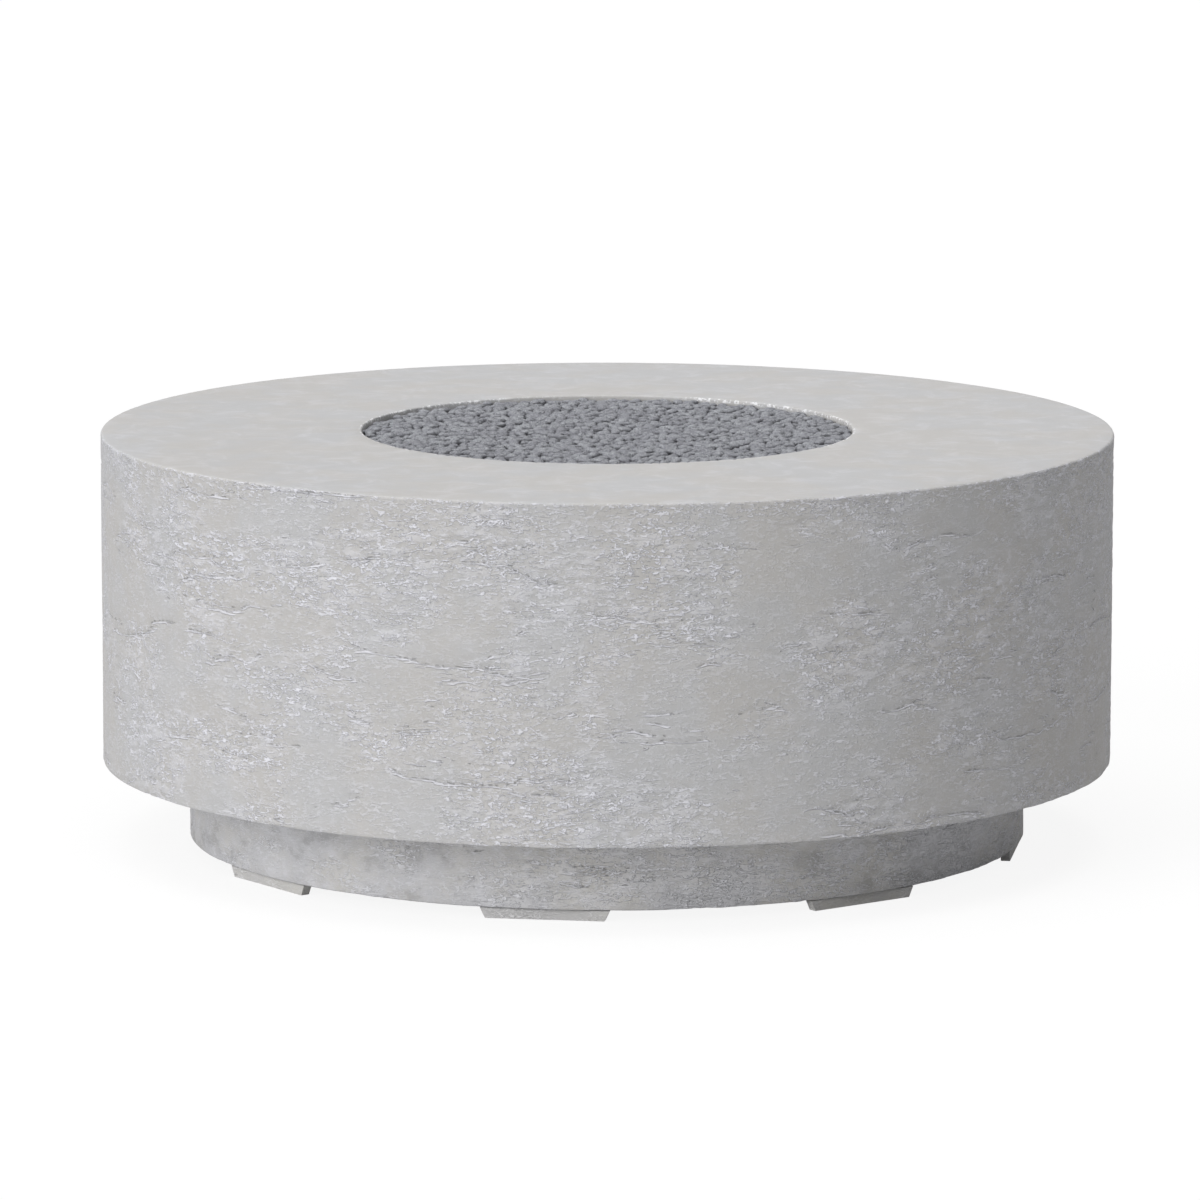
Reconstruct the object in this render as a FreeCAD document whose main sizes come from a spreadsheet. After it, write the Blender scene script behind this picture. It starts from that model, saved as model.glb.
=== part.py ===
import FreeCAD, Part
import math
import os
import random
import re
import Sketcher

# Fire pit table: a round cast shell on a recessed plinth, with a gas burner under lava rock.
# Millimetres, +Z up. The origin is on the floor, on the table's own axis.

document = FreeCAD.newDocument("fire_pit_table")
sheet = document.addObject("Spreadsheet::Sheet", "Sizes")

# Driving dimensions. Each is set here once, with what it measures.
SIZES = (
    ("shell_radius", "609.6", "round shell, outside"),
    ("shell_height", "397", "shell, from its underside to the table top"),
    ("shell_wall", "19", "skirt of the shell"),
    ("shell_cove", "14", "inner corners of the shell"),
    ("top_thickness", "30", "table top"),
    ("top_edge_round", "4", "outer edge of the table top"),
    ("return_thickness", "25", "bottom return of the shell"),
    ("return_lap", "5", "bottom return, inwards past the plinth flange"),
    ("opening_radius", "295.3", "fire opening in the table top"),
    ("opening_edge_round", "2.5", "edge of the fire opening"),
    ("ledge_drop", "30", "pan ledge below the table top"),
    ("ledge_thickness", "20", "pan ledge"),
    ("ledge_width", "23.3", "pan ledge, from the opening inwards"),
    ("ledge_root", "20", "ledge ring, from the opening outwards"),
    ("plinth_radius", "505.5", "plinth, outside"),
    ("plinth_height", "93", "plinth without its feet"),
    ("plinth_wall", "19", "plinth skirt"),
    ("plinth_flange_thickness", "19", "top flange of the plinth"),
    ("plinth_flange_width", "60.5", "top flange, from the plinth face inwards"),
    ("plinth_edge_round", "1.5", "lower outer edge of the plinth"),
    ("foot_count", "8", "feet round the plinth"),
    ("foot_height", "12.7", "feet, which make the air gap"),
    ("foot_length", "151.4", "foot along the plinth, at its top"),
    ("foot_end_slope", "6.1", "lean of each end of a foot"),
    ("foot_depth", "11", "foot across the plinth wall"),
    ("foot_setback", "7.8", "outer face of a foot behind the plinth face"),
    ("screw_spacing", "100", "two screws of one foot"),
    ("screw_radius", "2.5", "foot screw"),
    ("screw_length", "36", "foot screw with its head"),
    ("screw_head_radius", "4.3", "countersunk head"),
    ("screw_recess", "0.5", "head above the sole of the foot"),
    ("screw_gap", "0.3", "screw in the hole of the foot"),
    ("bolt_count", "8", "bolts from the plinth into the shell"),
    ("bolt_inset", "40.5", "bolt circle inside the plinth face"),
    ("bolt_radius", "5", "M10 bolt"),
    ("bolt_head_flats", "17", "bolt head across flats"),
    ("bolt_head_height", "6.4", "bolt head"),
    ("bolt_hole_gap", "0.5", "bolt in the flange hole"),
    ("bolt_end_gap", "1", "bolt end below the end of its insert"),
    ("washer_radius", "10.5", "bolt washer"),
    ("washer_thickness", "2", "bolt washer"),
    ("insert_radius", "8", "threaded insert"),
    ("insert_length", "20", "threaded insert"),
    ("thread_gap", "0.05", "between threads drawn plain"),
    ("pan_rim_gap", "3.3", "pan rim to the edge of the opening"),
    ("pan_wall_gap", "3", "pan wall to the ledge"),
    ("pan_sheet", "2", "steel of the pan"),
    ("pan_depth", "60", "pan below its rim"),
    ("pan_bend", "6", "inside bend at the floor of the pan"),
    ("pan_hole_gap", "0.7", "burner nipple in the pan"),
    ("weep_count", "6", "weep holes in the pan"),
    ("weep_radius", "4", "weep hole"),
    ("weep_circle_radius", "165", "circle of the weep holes"),
    ("burner_rise", "22", "axis of the burner tubes above the pan floor"),
    ("burner_tube_radius", "9.5", "ring tube, outside"),
    ("burner_tube_wall", "1.5", "wall of the burner tubes"),
    ("outer_ring_radius", "219", "centre line of the outer ring"),
    ("inner_ring_radius", "105", "centre line of the inner ring"),
    ("spoke_count", "4", "spokes of the burner"),
    ("spoke_radius", "7.5", "spoke tube, outside"),
    ("port_radius", "1.5", "gas port"),
    ("outer_port_count", "24", "ports on the outer ring"),
    ("inner_port_count", "12", "ports on the inner ring"),
    ("hub_radius", "22", "burner hub"),
    ("hub_height", "38", "burner hub"),
    ("nipple_radius", "10.5", "threaded nipple under the hub"),
    ("nipple_length", "30", "threaded nipple below the hub"),
    ("gas_way_radius", "5", "gas way in the hub and the valve"),
    ("hub_washer_radius", "17", "washer under the pan"),
    ("hub_washer_thickness", "2", "washer under the pan"),
    ("hub_nut_flats", "32", "locknut under the pan, across flats"),
    ("hub_nut_height", "8", "locknut under the pan"),
    ("mixer_radius", "14", "air mixer"),
    ("mixer_length", "60", "air mixer without its lower thread"),
    ("mixer_socket_depth", "14", "nipple in the air mixer"),
    ("mixer_chamber_radius", "9.5", "mixing chamber"),
    ("mixer_floor", "14", "solid lower end of the mixer"),
    ("window_count", "4", "air windows"),
    ("window_width", "7", "air window"),
    ("window_height", "18", "air window"),
    ("window_lift", "4", "window above the floor of the chamber"),
    ("orifice_radius", "5", "gas orifice"),
    ("orifice_length", "14", "gas orifice"),
    ("orifice_seat_depth", "6", "gas orifice in the floor of the mixer"),
    ("orifice_bore_radius", "1.2", "hole of the gas orifice"),
    ("flare_radius", "7.94", "five-eighths inch flare thread"),
    ("flare_length", "16", "flare thread"),
    ("flare_bore_radius", "4", "bore of the flare fittings"),
    ("fitting_flats", "24", "fitting across flats"),
    ("fitting_collar", "8", "hexagon of a fitting"),
    ("socket_radius", "10.5", "threaded socket of the valve"),
    ("socket_depth", "12", "threaded socket of the valve"),
    ("hose_radius", "9.5", "gas hose, outside"),
    ("hose_bore_radius", "6.5", "gas hose, inside"),
    ("hose_end_run", "30", "straight end of the hose at the burner"),
    ("nut_flats", "24", "hose nut across flats"),
    ("nut_cover", "13", "hose nut over the flare thread"),
    ("nut_tail", "13", "hose nut over the hose"),
    ("nut_gap", "0.1", "hose in its nut"),
    ("valve_height", "55", "valve axis above the floor"),
    ("valve_body_radius", "19", "valve body"),
    ("valve_body_length", "54", "valve body behind the wall"),
    ("valve_seat_depth", "0.3", "inner spot face of the plinth"),
    ("valve_hole_gap", "0.8", "valve neck in the plinth"),
    ("spot_margin", "1", "spot face round what it carries"),
    ("neck_radius", "12.7", "threaded neck of the valve"),
    ("neck_reach", "3", "neck into the flange"),
    ("key_well_radius", "8.5", "well for the key"),
    ("key_well_depth", "14", "well for the key"),
    ("boss_radius", "15", "inlet boss of the valve"),
    ("boss_length", "32", "inlet boss from the valve axis"),
    ("ball_radius", "10", "valve ball"),
    ("ball_depth", "26", "ball centre behind the wall"),
    ("ball_gap", "0.3", "ball in its chamber"),
    ("stem_radius", "6", "valve stem"),
    ("stem_fit", "0.05", "stem in its bore"),
    ("stem_collar_radius", "8", "collar that holds the stem"),
    ("stem_collar_height", "3", "collar that holds the stem"),
    ("stem_square", "7.9", "square of the stem, across flats"),
    ("stem_square_length", "12", "square of the stem"),
    ("tang_width", "4", "tang of the stem in the ball"),
    ("tang_depth", "3", "tang of the stem in the ball"),
    ("flange_radius", "32", "valve flange"),
    ("flange_thickness", "6", "valve flange"),
    ("flange_edge_round", "2.5", "valve flange"),
    ("flange_seat_depth", "1.3", "outer spot face of the plinth"),
    ("key_fit", "0.15", "key on the stem, each side"),
    ("key_seat_gap", "0.3", "key above the shoulder of the stem"),
    ("key_socket_radius", "7", "socket end of the key"),
    ("key_socket_length", "28", "socket end of the key"),
    ("key_rod_radius", "4.75", "rod of the key"),
    ("key_rod_length", "30", "rod of the key"),
    ("key_head_radius", "6.5", "head of the key"),
    ("key_head_length", "12", "head of the key"),
    ("key_edge_round", "1.6", "edges of the key"),
    ("key_bar_radius", "3.5", "cross bar of the key"),
    ("key_bar_length", "52", "cross bar of the key"),
    ("rock_gap", "0.4", "lava rock bed to the pan and the burner"),
    ("rock_drop", "15", "top of the bed below the table top"),
    ("rock_count", "460", "stones of the top layer"),
    ("rock_height", "13", "stone of the top layer"),
)
NAMES = [name for name, number, note in SIZES]

# Heights and lengths that follow from the driving dimensions.
FOLLOWING = {
    "shell_base": "foot_height + plinth_height",
    "table_top": "shell_base + shell_height",
    "slab_base": "table_top - top_thickness",
    "return_top": "shell_base + return_thickness",
    "ledge_top": "table_top - ledge_drop",
    "ledge_base": "ledge_top - ledge_thickness",
    "ledge_inner_radius": "opening_radius - ledge_width",
    "plinth_inner_radius": "plinth_radius - plinth_wall",
    "flange_base": "shell_base - plinth_flange_thickness",
    "plinth_flange_inner_radius": "plinth_radius - plinth_flange_width",
    "return_inner_radius": "plinth_flange_inner_radius - return_lap",
    "bolt_circle_radius": "plinth_radius - bolt_inset",
    "foot_face": "plinth_radius - foot_setback",
    "screw_line": "foot_face - foot_depth / 2",
    "insert_top": "shell_base + insert_length",
    "washer_base": "flange_base - washer_thickness",
    "pan_rim_radius": "opening_radius - pan_rim_gap",
    "pan_radius": "ledge_inner_radius - pan_wall_gap",
    "pan_base": "ledge_top - pan_depth",
    "pan_floor": "pan_base + pan_sheet",
    "pan_hole_radius": "nipple_radius + pan_hole_gap",
    "burner_axis": "pan_floor + burner_rise",
    "burner_bore_radius": "burner_tube_radius - burner_tube_wall",
    "nipple_base": "pan_floor - nipple_length",
    "hub_washer_base": "pan_base - hub_washer_thickness",
    "hub_nut_base": "hub_washer_base - hub_nut_height",
    "mixer_top": "nipple_base + mixer_socket_depth",
    "mixer_base": "mixer_top - mixer_length",
    "chamber_base": "mixer_base + mixer_floor",
    "hose_top": "mixer_base - flare_length",
    "valve_seat": "plinth_inner_radius + valve_seat_depth",
    "flange_seat": "plinth_radius - flange_seat_depth",
    "wall_at_valve": "flange_seat - valve_seat",
    "neck_length": "wall_at_valve + neck_reach",
    "well_base": "neck_length - key_well_depth",
    "chamber_radius": "ball_radius + ball_gap",
    "ball_top": "ball_radius - ball_depth",
    "collar_top": "ball_top + stem_collar_height",
    "ball_axis": "valve_seat - ball_depth",
    "outlet_face": "valve_seat - valve_body_length",
    "hose_start": "outlet_face - fitting_collar - flare_length",
    "bed_top": "table_top - rock_drop",
}


def expand(formula):
    """Write a formula of size names as one that reads the sheet."""

    def word(match):
        name = match.group(0)
        if name in FOLLOWING:
            return "(" + expand(FOLLOWING[name]) + ")"
        if name in NAMES:
            return "Sizes." + name
        return name

    return re.sub(r"[a-z][a-z_]*", word, formula)


def value(formula):
    """The number that a formula of size names has now."""
    result = sheet.evalExpression(expand(formula))
    return float(getattr(result, "Value", result))


def bind(item, field, formula):
    """Tie one field of an object to the sheet."""
    item.setExpression(field, expand(formula))


for row, (name, number, note) in enumerate(SIZES, 1):
    sheet.set("A%d" % row, note)
    sheet.set("B%d" % row, number)
    sheet.setAlias("B%d" % row, name)
document.recompute()

ALONG_X = FreeCAD.Vector(1, 0, 0)
ALONG_Y = FreeCAD.Vector(0, 1, 0)
ALONG_Z = FreeCAD.Vector(0, 0, 1)
HEX_ANGLES = range(0, 360, 60)
sub_parts = []


def body_named(label, group=False):
    """A new body, which holds one sub-part or a group of like pieces."""
    body = document.addObject("PartDesign::Body", label)
    body.Label = label
    body.AllowCompound = group
    sub_parts.append(body)
    return body


def origin_part(body, role):
    """One plane or axis of the body's own origin."""
    return next(item for item in body.Origin.OriginFeatures if item.Role == role)


def place(item, x="0", y="0", z="0", axis=ALONG_Z, angle="0"):
    """Put a sub-part in the table, with its place tied to the sheet."""
    item.Placement = FreeCAD.Placement(FreeCAD.Vector(), FreeCAD.Rotation(axis, value(angle)))
    bind(item, "Placement.Base.x", x)
    bind(item, "Placement.Base.y", y)
    bind(item, "Placement.Base.z", z)
    bind(item, "Placement.Rotation.Angle", angle + " * 1deg")


def sketch_on(body, name, role, offset="0"):
    """A sketch on an origin plane of the body, moved along the plane's normal."""
    sketch = body.newObject("Sketcher::SketchObject", name)
    sketch.AttachmentSupport = [(origin_part(body, role), "")]
    sketch.MapMode = "FlatFace"
    bind(sketch, "AttachmentOffset.Base.z", offset)
    return sketch


def pin(sketch, line, point, across, up):
    """Tie one point of a sketch to its distances from the sketch origin."""
    for kind, formula, zero_axis in (("DistanceX", across, -2), ("DistanceY", up, -1)):
        if formula == "0":
            sketch.addConstraint(Sketcher.Constraint("PointOnObject", line, point, zero_axis))
            continue
        number = sketch.addConstraint(
            Sketcher.Constraint(kind, -1, 1, line, point, value(formula)))
        bind(sketch, "Constraints[%d]" % number, formula)


def draw_outline(sketch, corners):
    """Closed run of straight lines through corners given as formulas."""
    points = [FreeCAD.Vector(value(across), value(up), 0) for across, up in corners]
    lines = [sketch.addGeometry(Part.LineSegment(start, end))
             for start, end in zip(points, points[1:] + points[:1])]
    for line, following in zip(lines, lines[1:] + lines[:1]):
        sketch.addConstraint(Sketcher.Constraint("Coincident", line, 2, following, 1))
    for line, (across, up) in zip(lines, corners):
        pin(sketch, line, 1, across, up)


def draw_circle(sketch, radius, across="0", up="0"):
    """Circle with its radius and centre given as formulas."""
    centre = FreeCAD.Vector(value(across), value(up), 0)
    circle = sketch.addGeometry(Part.Circle(centre, ALONG_Z, value(radius)))
    number = sketch.addConstraint(Sketcher.Constraint("Radius", circle, value(radius)))
    bind(sketch, "Constraints[%d]" % number, radius)
    pin(sketch, circle, 3, across, up)


def turn(body, name, corners, cut=False):
    """Turn a half section of radius and height about the body's own axis."""
    sketch = sketch_on(body, name + "_section", "XZ_Plane")
    draw_outline(sketch, corners)
    kind = "PartDesign::Groove" if cut else "PartDesign::Revolution"
    feature = body.newObject(kind, name)
    feature.Profile = sketch
    feature.ReferenceAxis = (sketch, ["V_Axis"])
    feature.Angle = 360
    sketch.Visibility = False
    return feature


def raise_from(body, name, sketch, length, back=False):
    """Pad a sketch along its normal, or the other way."""
    feature = body.newObject("PartDesign::Pad", name)
    feature.Profile = sketch
    feature.Reversed = back
    bind(feature, "Length", length)
    return feature


def sink_into(body, name, sketch, length, along_normal=True):
    """Cut a sketch into the body and make sure that it takes something away."""
    document.recompute()
    before = body.Shape.Volume
    feature = body.newObject("PartDesign::Pocket", name)
    feature.Profile = sketch
    feature.Reversed = along_normal
    bind(feature, "Length", length)
    document.recompute()
    if before - body.Shape.Volume < 1e-3:
        raise RuntimeError(name + " cuts nothing")
    return feature


def repeat_round(body, name, features, count):
    """Repeat features at equal steps round the body's axis."""
    pattern = body.newObject("PartDesign::PolarPattern", name)
    pattern.Originals = features
    pattern.Axis = (origin_part(body, "Z_Axis"), [""])
    pattern.Angle = 360
    bind(pattern, "Occurrences", count)
    body.Tip = pattern
    document.recompute()
    return pattern


def ring_edges(shape, rings):
    """Names of the circular edges at the given radii and heights."""
    found = []
    for number, edge in enumerate(shape.Edges, 1):
        if not isinstance(edge.Curve, Part.Circle):
            continue
        for radius, height in rings:
            same_radius = abs(edge.Curve.Radius - value(radius)) < 1e-3
            if same_radius and abs(edge.Curve.Center.z - value(height)) < 1e-3:
                found.append("Edge%d" % number)
    return found


def soften(body, name, size, rings, kind="PartDesign::Fillet"):
    """Round or chamfer the circular edges at the given radii and heights."""
    document.recompute()
    base = body.Tip
    feature = body.newObject(kind, name)
    feature.Base = (base, ring_edges(base.Shape, rings))
    bind(feature, "Size" if kind.endswith("Chamfer") else "Radius", size)
    return feature


def hexagon(flats):
    """Corners of a hexagon, given its size across flats."""
    reach = flats + " / sqrt(3)"
    return [("%s * cos(%ddeg)" % (reach, angle), "%s * sin(%ddeg)" % (reach, angle))
            for angle in HEX_ANGLES]


def box_outline(width, depth):
    """Corners of a rectangle about the sketch origin."""
    half, deep = "(%s) / 2" % width, "(%s) / 2" % depth
    return [(half, deep), ("-" + half, deep), ("-" + half, "-" + deep), (half, "-" + deep)]


# Shell: table top, skirt, bottom return and the ledge that carries the pan
def make_shell():
    body = body_named("table_shell")
    turn(body, "shell_turned", [
        ("shell_radius", "shell_base"),
        ("shell_radius", "table_top"),
        ("opening_radius", "table_top"),
        ("opening_radius", "ledge_top"),
        ("ledge_inner_radius", "ledge_top"),
        ("ledge_inner_radius", "ledge_base"),
        ("opening_radius + ledge_root", "ledge_base"),
        ("opening_radius + ledge_root", "slab_base"),
        ("shell_radius - shell_wall", "slab_base"),
        ("shell_radius - shell_wall", "return_top"),
        ("return_inner_radius", "return_top"),
        ("return_inner_radius", "shell_base"),
    ])
    soften(body, "shell_top_edge", "top_edge_round", [("shell_radius", "table_top")])
    soften(body, "shell_opening_edge", "opening_edge_round", [("opening_radius", "table_top")])
    soften(body, "shell_coves", "shell_cove", [
        ("shell_radius - shell_wall", "slab_base"),
        ("shell_radius - shell_wall", "return_top"),
    ])
    holes = sketch_on(body, "insert_hole_circle", "XY_Plane", "shell_base")
    draw_circle(holes, "insert_radius", *bolt_place())
    pocket = sink_into(body, "insert_hole", holes, "insert_length")
    repeat_round(body, "insert_holes", [pocket], "bolt_count")


def bolt_place():
    """First bolt, half a step away from the first foot."""
    angle = "(180deg / bolt_count)"
    return "bolt_circle_radius * cos(%s)" % angle, "bolt_circle_radius * sin(%s)" % angle


# Plinth: recessed ring wall with a flange that the shell is bolted to
def make_plinth():
    body = body_named("base_plinth")
    turn(body, "plinth_turned", [
        ("plinth_radius", "foot_height"),
        ("plinth_radius", "shell_base"),
        ("plinth_flange_inner_radius", "shell_base"),
        ("plinth_flange_inner_radius", "flange_base"),
        ("plinth_inner_radius", "flange_base"),
        ("plinth_inner_radius", "foot_height"),
    ])
    soften(body, "plinth_edge", "plinth_edge_round", [("plinth_radius", "foot_height")])
    bolt_circle = sketch_on(body, "bolt_hole_circle", "XY_Plane", "flange_base")
    draw_circle(bolt_circle, "bolt_radius + bolt_hole_gap", *bolt_place())
    bolt_hole = sink_into(body, "bolt_hole", bolt_circle, "plinth_flange_thickness")
    repeat_round(body, "bolt_holes", [bolt_hole], "bolt_count")
    pilots = sketch_on(body, "screw_pilot_circles", "XY_Plane", "foot_height")
    for side in ("", "-"):
        draw_circle(pilots, "screw_radius + thread_gap", side + "screw_spacing / 2", "-screw_line")
    pilot = sink_into(body, "screw_pilot", pilots, "screw_length + screw_recess - foot_height")
    repeat_round(body, "screw_pilots", [pilot], "foot_count")
    neck = sketch_on(body, "neck_circle", "XZ_Plane", "-plinth_radius")
    draw_circle(neck, "neck_radius + valve_hole_gap", "0", "valve_height")
    sink_into(body, "neck_hole", neck, "plinth_wall + plinth_wall")
    outer = sketch_on(body, "flange_spot_circle", "XZ_Plane", "-plinth_radius")
    draw_circle(outer, "flange_radius + spot_margin", "0", "valve_height")
    sink_into(body, "flange_spot_face", outer, "flange_seat_depth")
    inner = sketch_on(body, "valve_spot_circle", "XZ_Plane", "-valve_seat")
    draw_circle(inner, "valve_body_radius + spot_margin", "0", "valve_height")
    sink_into(body, "valve_spot_face", inner, "plinth_wall")


# Feet: straight blocks with sloping ends, each held by two countersunk screws
def make_foot(number, angle):
    body = body_named("foot_%d" % number)
    side = sketch_on(body, "foot_side", "XZ_Plane", "foot_face")
    draw_outline(side, [
        ("-foot_length / 2", "foot_height"),
        ("foot_length / 2", "foot_height"),
        ("foot_length / 2 - foot_end_slope", "0"),
        ("foot_end_slope - foot_length / 2", "0"),
    ])
    raise_from(body, "foot_block", side, "foot_depth", back=True)
    holes = sketch_on(body, "foot_hole_circles", "XY_Plane")
    for side_sign in ("", "-"):
        draw_circle(holes, "screw_radius + screw_gap", side_sign + "screw_spacing / 2", "-screw_line")
    sink_into(body, "foot_holes", holes, "foot_height")
    soften(body, "foot_countersinks", "screw_head_radius + screw_recess - screw_radius",
           [("screw_radius + screw_gap", "0")], "PartDesign::Chamfer")
    place(body, angle=angle)


def make_feet():
    count = round(value("foot_count"))
    for number in range(count):
        make_foot(number + 1, "(%d * 360 / foot_count)" % number)


COUNTERSINK_SLOPE = "-45"


def make_foot_screws():
    """All foot screws, as turned pieces set out in pairs round the plinth."""
    body = body_named("foot_screws", group=True)
    shank = sketch_on(body, "screw_shank_circles", "XY_Plane", "screw_recess")
    heads = sketch_on(body, "screw_head_circles", "XY_Plane", "screw_recess")
    for side in ("", "-"):
        draw_circle(shank, "screw_radius", side + "screw_spacing / 2", "-screw_line")
        draw_circle(heads, "screw_head_radius", side + "screw_spacing / 2", "-screw_line")
    shanks = raise_from(body, "screw_shanks", shank, "screw_length")
    document.recompute()
    head = raise_from(body, "screw_heads", heads, "screw_head_radius - screw_radius")
    bind(head, "TaperAngle", COUNTERSINK_SLOPE)
    document.recompute()
    repeat_round(body, "screw_pairs", [shanks, head], "foot_count")


# Bolting of the plinth to the shell
def make_bolting():
    inserts = body_named("shell_inserts", group=True)
    ring = sketch_on(inserts, "insert_rings", "XY_Plane", "shell_base")
    draw_circle(ring, "insert_radius - thread_gap", "bolt_circle_radius")
    draw_circle(ring, "bolt_radius + thread_gap", "bolt_circle_radius")
    insert = raise_from(inserts, "insert", ring, "insert_length")
    repeat_round(inserts, "insert_set", [insert], "bolt_count")
    place(inserts, angle="(180 / bolt_count)")

    washers = body_named("plinth_washers", group=True)
    ring = sketch_on(washers, "washer_rings", "XY_Plane", "washer_base")
    draw_circle(ring, "washer_radius", "bolt_circle_radius")
    draw_circle(ring, "bolt_radius + bolt_hole_gap", "bolt_circle_radius")
    washer = raise_from(washers, "washer", ring, "washer_thickness")
    repeat_round(washers, "washer_set", [washer], "bolt_count")
    place(washers, angle="(180 / bolt_count)")

    bolts = body_named("plinth_bolts", group=True)
    head = sketch_on(bolts, "bolt_head_hexagon", "XY_Plane", "washer_base - bolt_head_height")
    draw_outline(head, [("bolt_circle_radius + " + across, up)
                        for across, up in hexagon("bolt_head_flats")])
    bolt_head = raise_from(bolts, "bolt_head", head, "bolt_head_height")
    shank = sketch_on(bolts, "bolt_shank_circle", "XY_Plane", "washer_base")
    draw_circle(shank, "bolt_radius", "bolt_circle_radius")
    bolt_shank = raise_from(bolts, "bolt_shank", shank, "insert_top - bolt_end_gap - washer_base")
    document.recompute()
    repeat_round(bolts, "bolt_set", [bolt_head, bolt_shank], "bolt_count")
    place(bolts, angle="(180 / bolt_count)")


# Burner pan: drop-in steel pan whose rim lies on the ledge
def make_pan():
    body = body_named("burner_pan")
    turn(body, "pan_turned", [
        ("pan_rim_radius", "ledge_top"),
        ("pan_rim_radius", "ledge_top + pan_sheet"),
        ("pan_radius - pan_sheet", "ledge_top + pan_sheet"),
        ("pan_radius - pan_sheet", "pan_floor"),
        ("pan_hole_radius", "pan_floor"),
        ("pan_hole_radius", "pan_base"),
        ("pan_radius", "pan_base"),
        ("pan_radius", "ledge_top"),
    ])
    soften(body, "pan_outer_bend", "pan_bend + pan_sheet", [("pan_radius", "pan_base")])
    soften(body, "pan_inner_bend", "pan_bend", [("pan_radius - pan_sheet", "pan_floor")])
    weep = sketch_on(body, "weep_circle", "XY_Plane", "pan_base")
    draw_circle(weep, "weep_radius", "weep_circle_radius * cos(180deg / spoke_count)",
                "weep_circle_radius * sin(180deg / spoke_count)")
    hole = sink_into(body, "weep_hole", weep, "pan_sheet")
    repeat_round(body, "weep_holes", [hole], "weep_count")


# Burner: two tube rings with gas ports, tied to the hub by spokes
def cylinder(name, radius, height):
    """A round blank or tool, tied to the sheet."""
    item = document.addObject("Part::Cylinder", name)
    bind(item, "Radius", radius)
    bind(item, "Height", height)
    return item


def torus(name, radius, tube):
    """A ring-shaped blank or tool on the burner's level, tied to the sheet."""
    item = document.addObject("Part::Torus", name)
    bind(item, "Radius1", radius)
    bind(item, "Radius2", tube)
    place(item, z="burner_axis")
    return item


def joined(name, pieces):
    """One shape from several that meet."""
    item = document.addObject("Part::MultiFuse", name)
    item.Shapes = pieces
    return item


def sub_part_cut(label, blank, tool):
    """A sub-part made from a blank with a tool cut out."""
    item = document.addObject("Part::Cut", label)
    item.Label = label
    item.Base = blank
    item.Tool = tool
    sub_parts.append(item)


def make_ring(label, radius, ports):
    """A ring of tube with ports through its top."""
    tube = torus("ring_outside", radius, "burner_tube_radius")
    bore = torus("ring_bore", radius, "burner_bore_radius")
    drills = []
    for number in range(round(value(ports))):
        drill = cylinder("port_drill", "port_radius", "burner_tube_radius + burner_tube_wall")
        angle = "((%d + 0.5) * 360deg / %s)" % (number, ports)
        place(drill, radius + " * cos" + angle, radius + " * sin" + angle, "burner_axis")
        drills.append(drill)
    sub_part_cut(label, tube, joined("ring_inside", [bore] + drills))


def make_spokes():
    """Spoke tubes, cut to fit the hub and both rings."""
    outsides = []
    insides = []
    for number in range(round(value("spoke_count"))):
        angle = math.tau * number / value("spoke_count")
        across = FreeCAD.Vector(-math.sin(angle), math.cos(angle), 0)
        outside = cylinder("spoke_outside", "spoke_radius", "outer_ring_radius")
        place(outside, z="burner_axis", axis=across, angle="90")
        outsides.append(outside)
        inside = cylinder("spoke_bore", "spoke_radius - burner_tube_wall", "outer_ring_radius")
        place(inside, z="burner_axis", axis=across, angle="90")
        insides.append(inside)
    insides.append(torus("outer_ring_space", "outer_ring_radius", "burner_tube_radius"))
    insides.append(torus("inner_ring_space", "inner_ring_radius", "burner_tube_radius"))
    hub = cylinder("hub_space", "hub_radius", "hub_height")
    place(hub, z="pan_floor")
    insides.append(hub)
    sub_part_cut("burner_spokes", joined("spoke_outsides", outsides), joined("spoke_insides", insides))


def make_hub():
    body = body_named("burner_hub")
    turn(body, "hub_turned", [
        ("0", "pan_floor + hub_height"),
        ("hub_radius", "pan_floor + hub_height"),
        ("hub_radius", "pan_floor"),
        ("nipple_radius", "pan_floor"),
        ("nipple_radius", "nipple_base"),
        ("gas_way_radius", "nipple_base"),
        ("gas_way_radius", "burner_axis"),
        ("0", "burner_axis"),
    ])
    washer = body_named("hub_washer")
    turn(washer, "hub_washer_turned", [
        ("nipple_radius + thread_gap", "hub_washer_base"),
        ("hub_washer_radius", "hub_washer_base"),
        ("hub_washer_radius", "pan_base"),
        ("nipple_radius + thread_gap", "pan_base"),
    ])
    nut = body_named("hub_locknut")
    outline = sketch_on(nut, "hub_nut_outline", "XY_Plane", "hub_nut_base")
    draw_outline(outline, hexagon("hub_nut_flats"))
    draw_circle(outline, "nipple_radius + thread_gap")
    raise_from(nut, "hub_nut", outline, "hub_nut_height")


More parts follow.
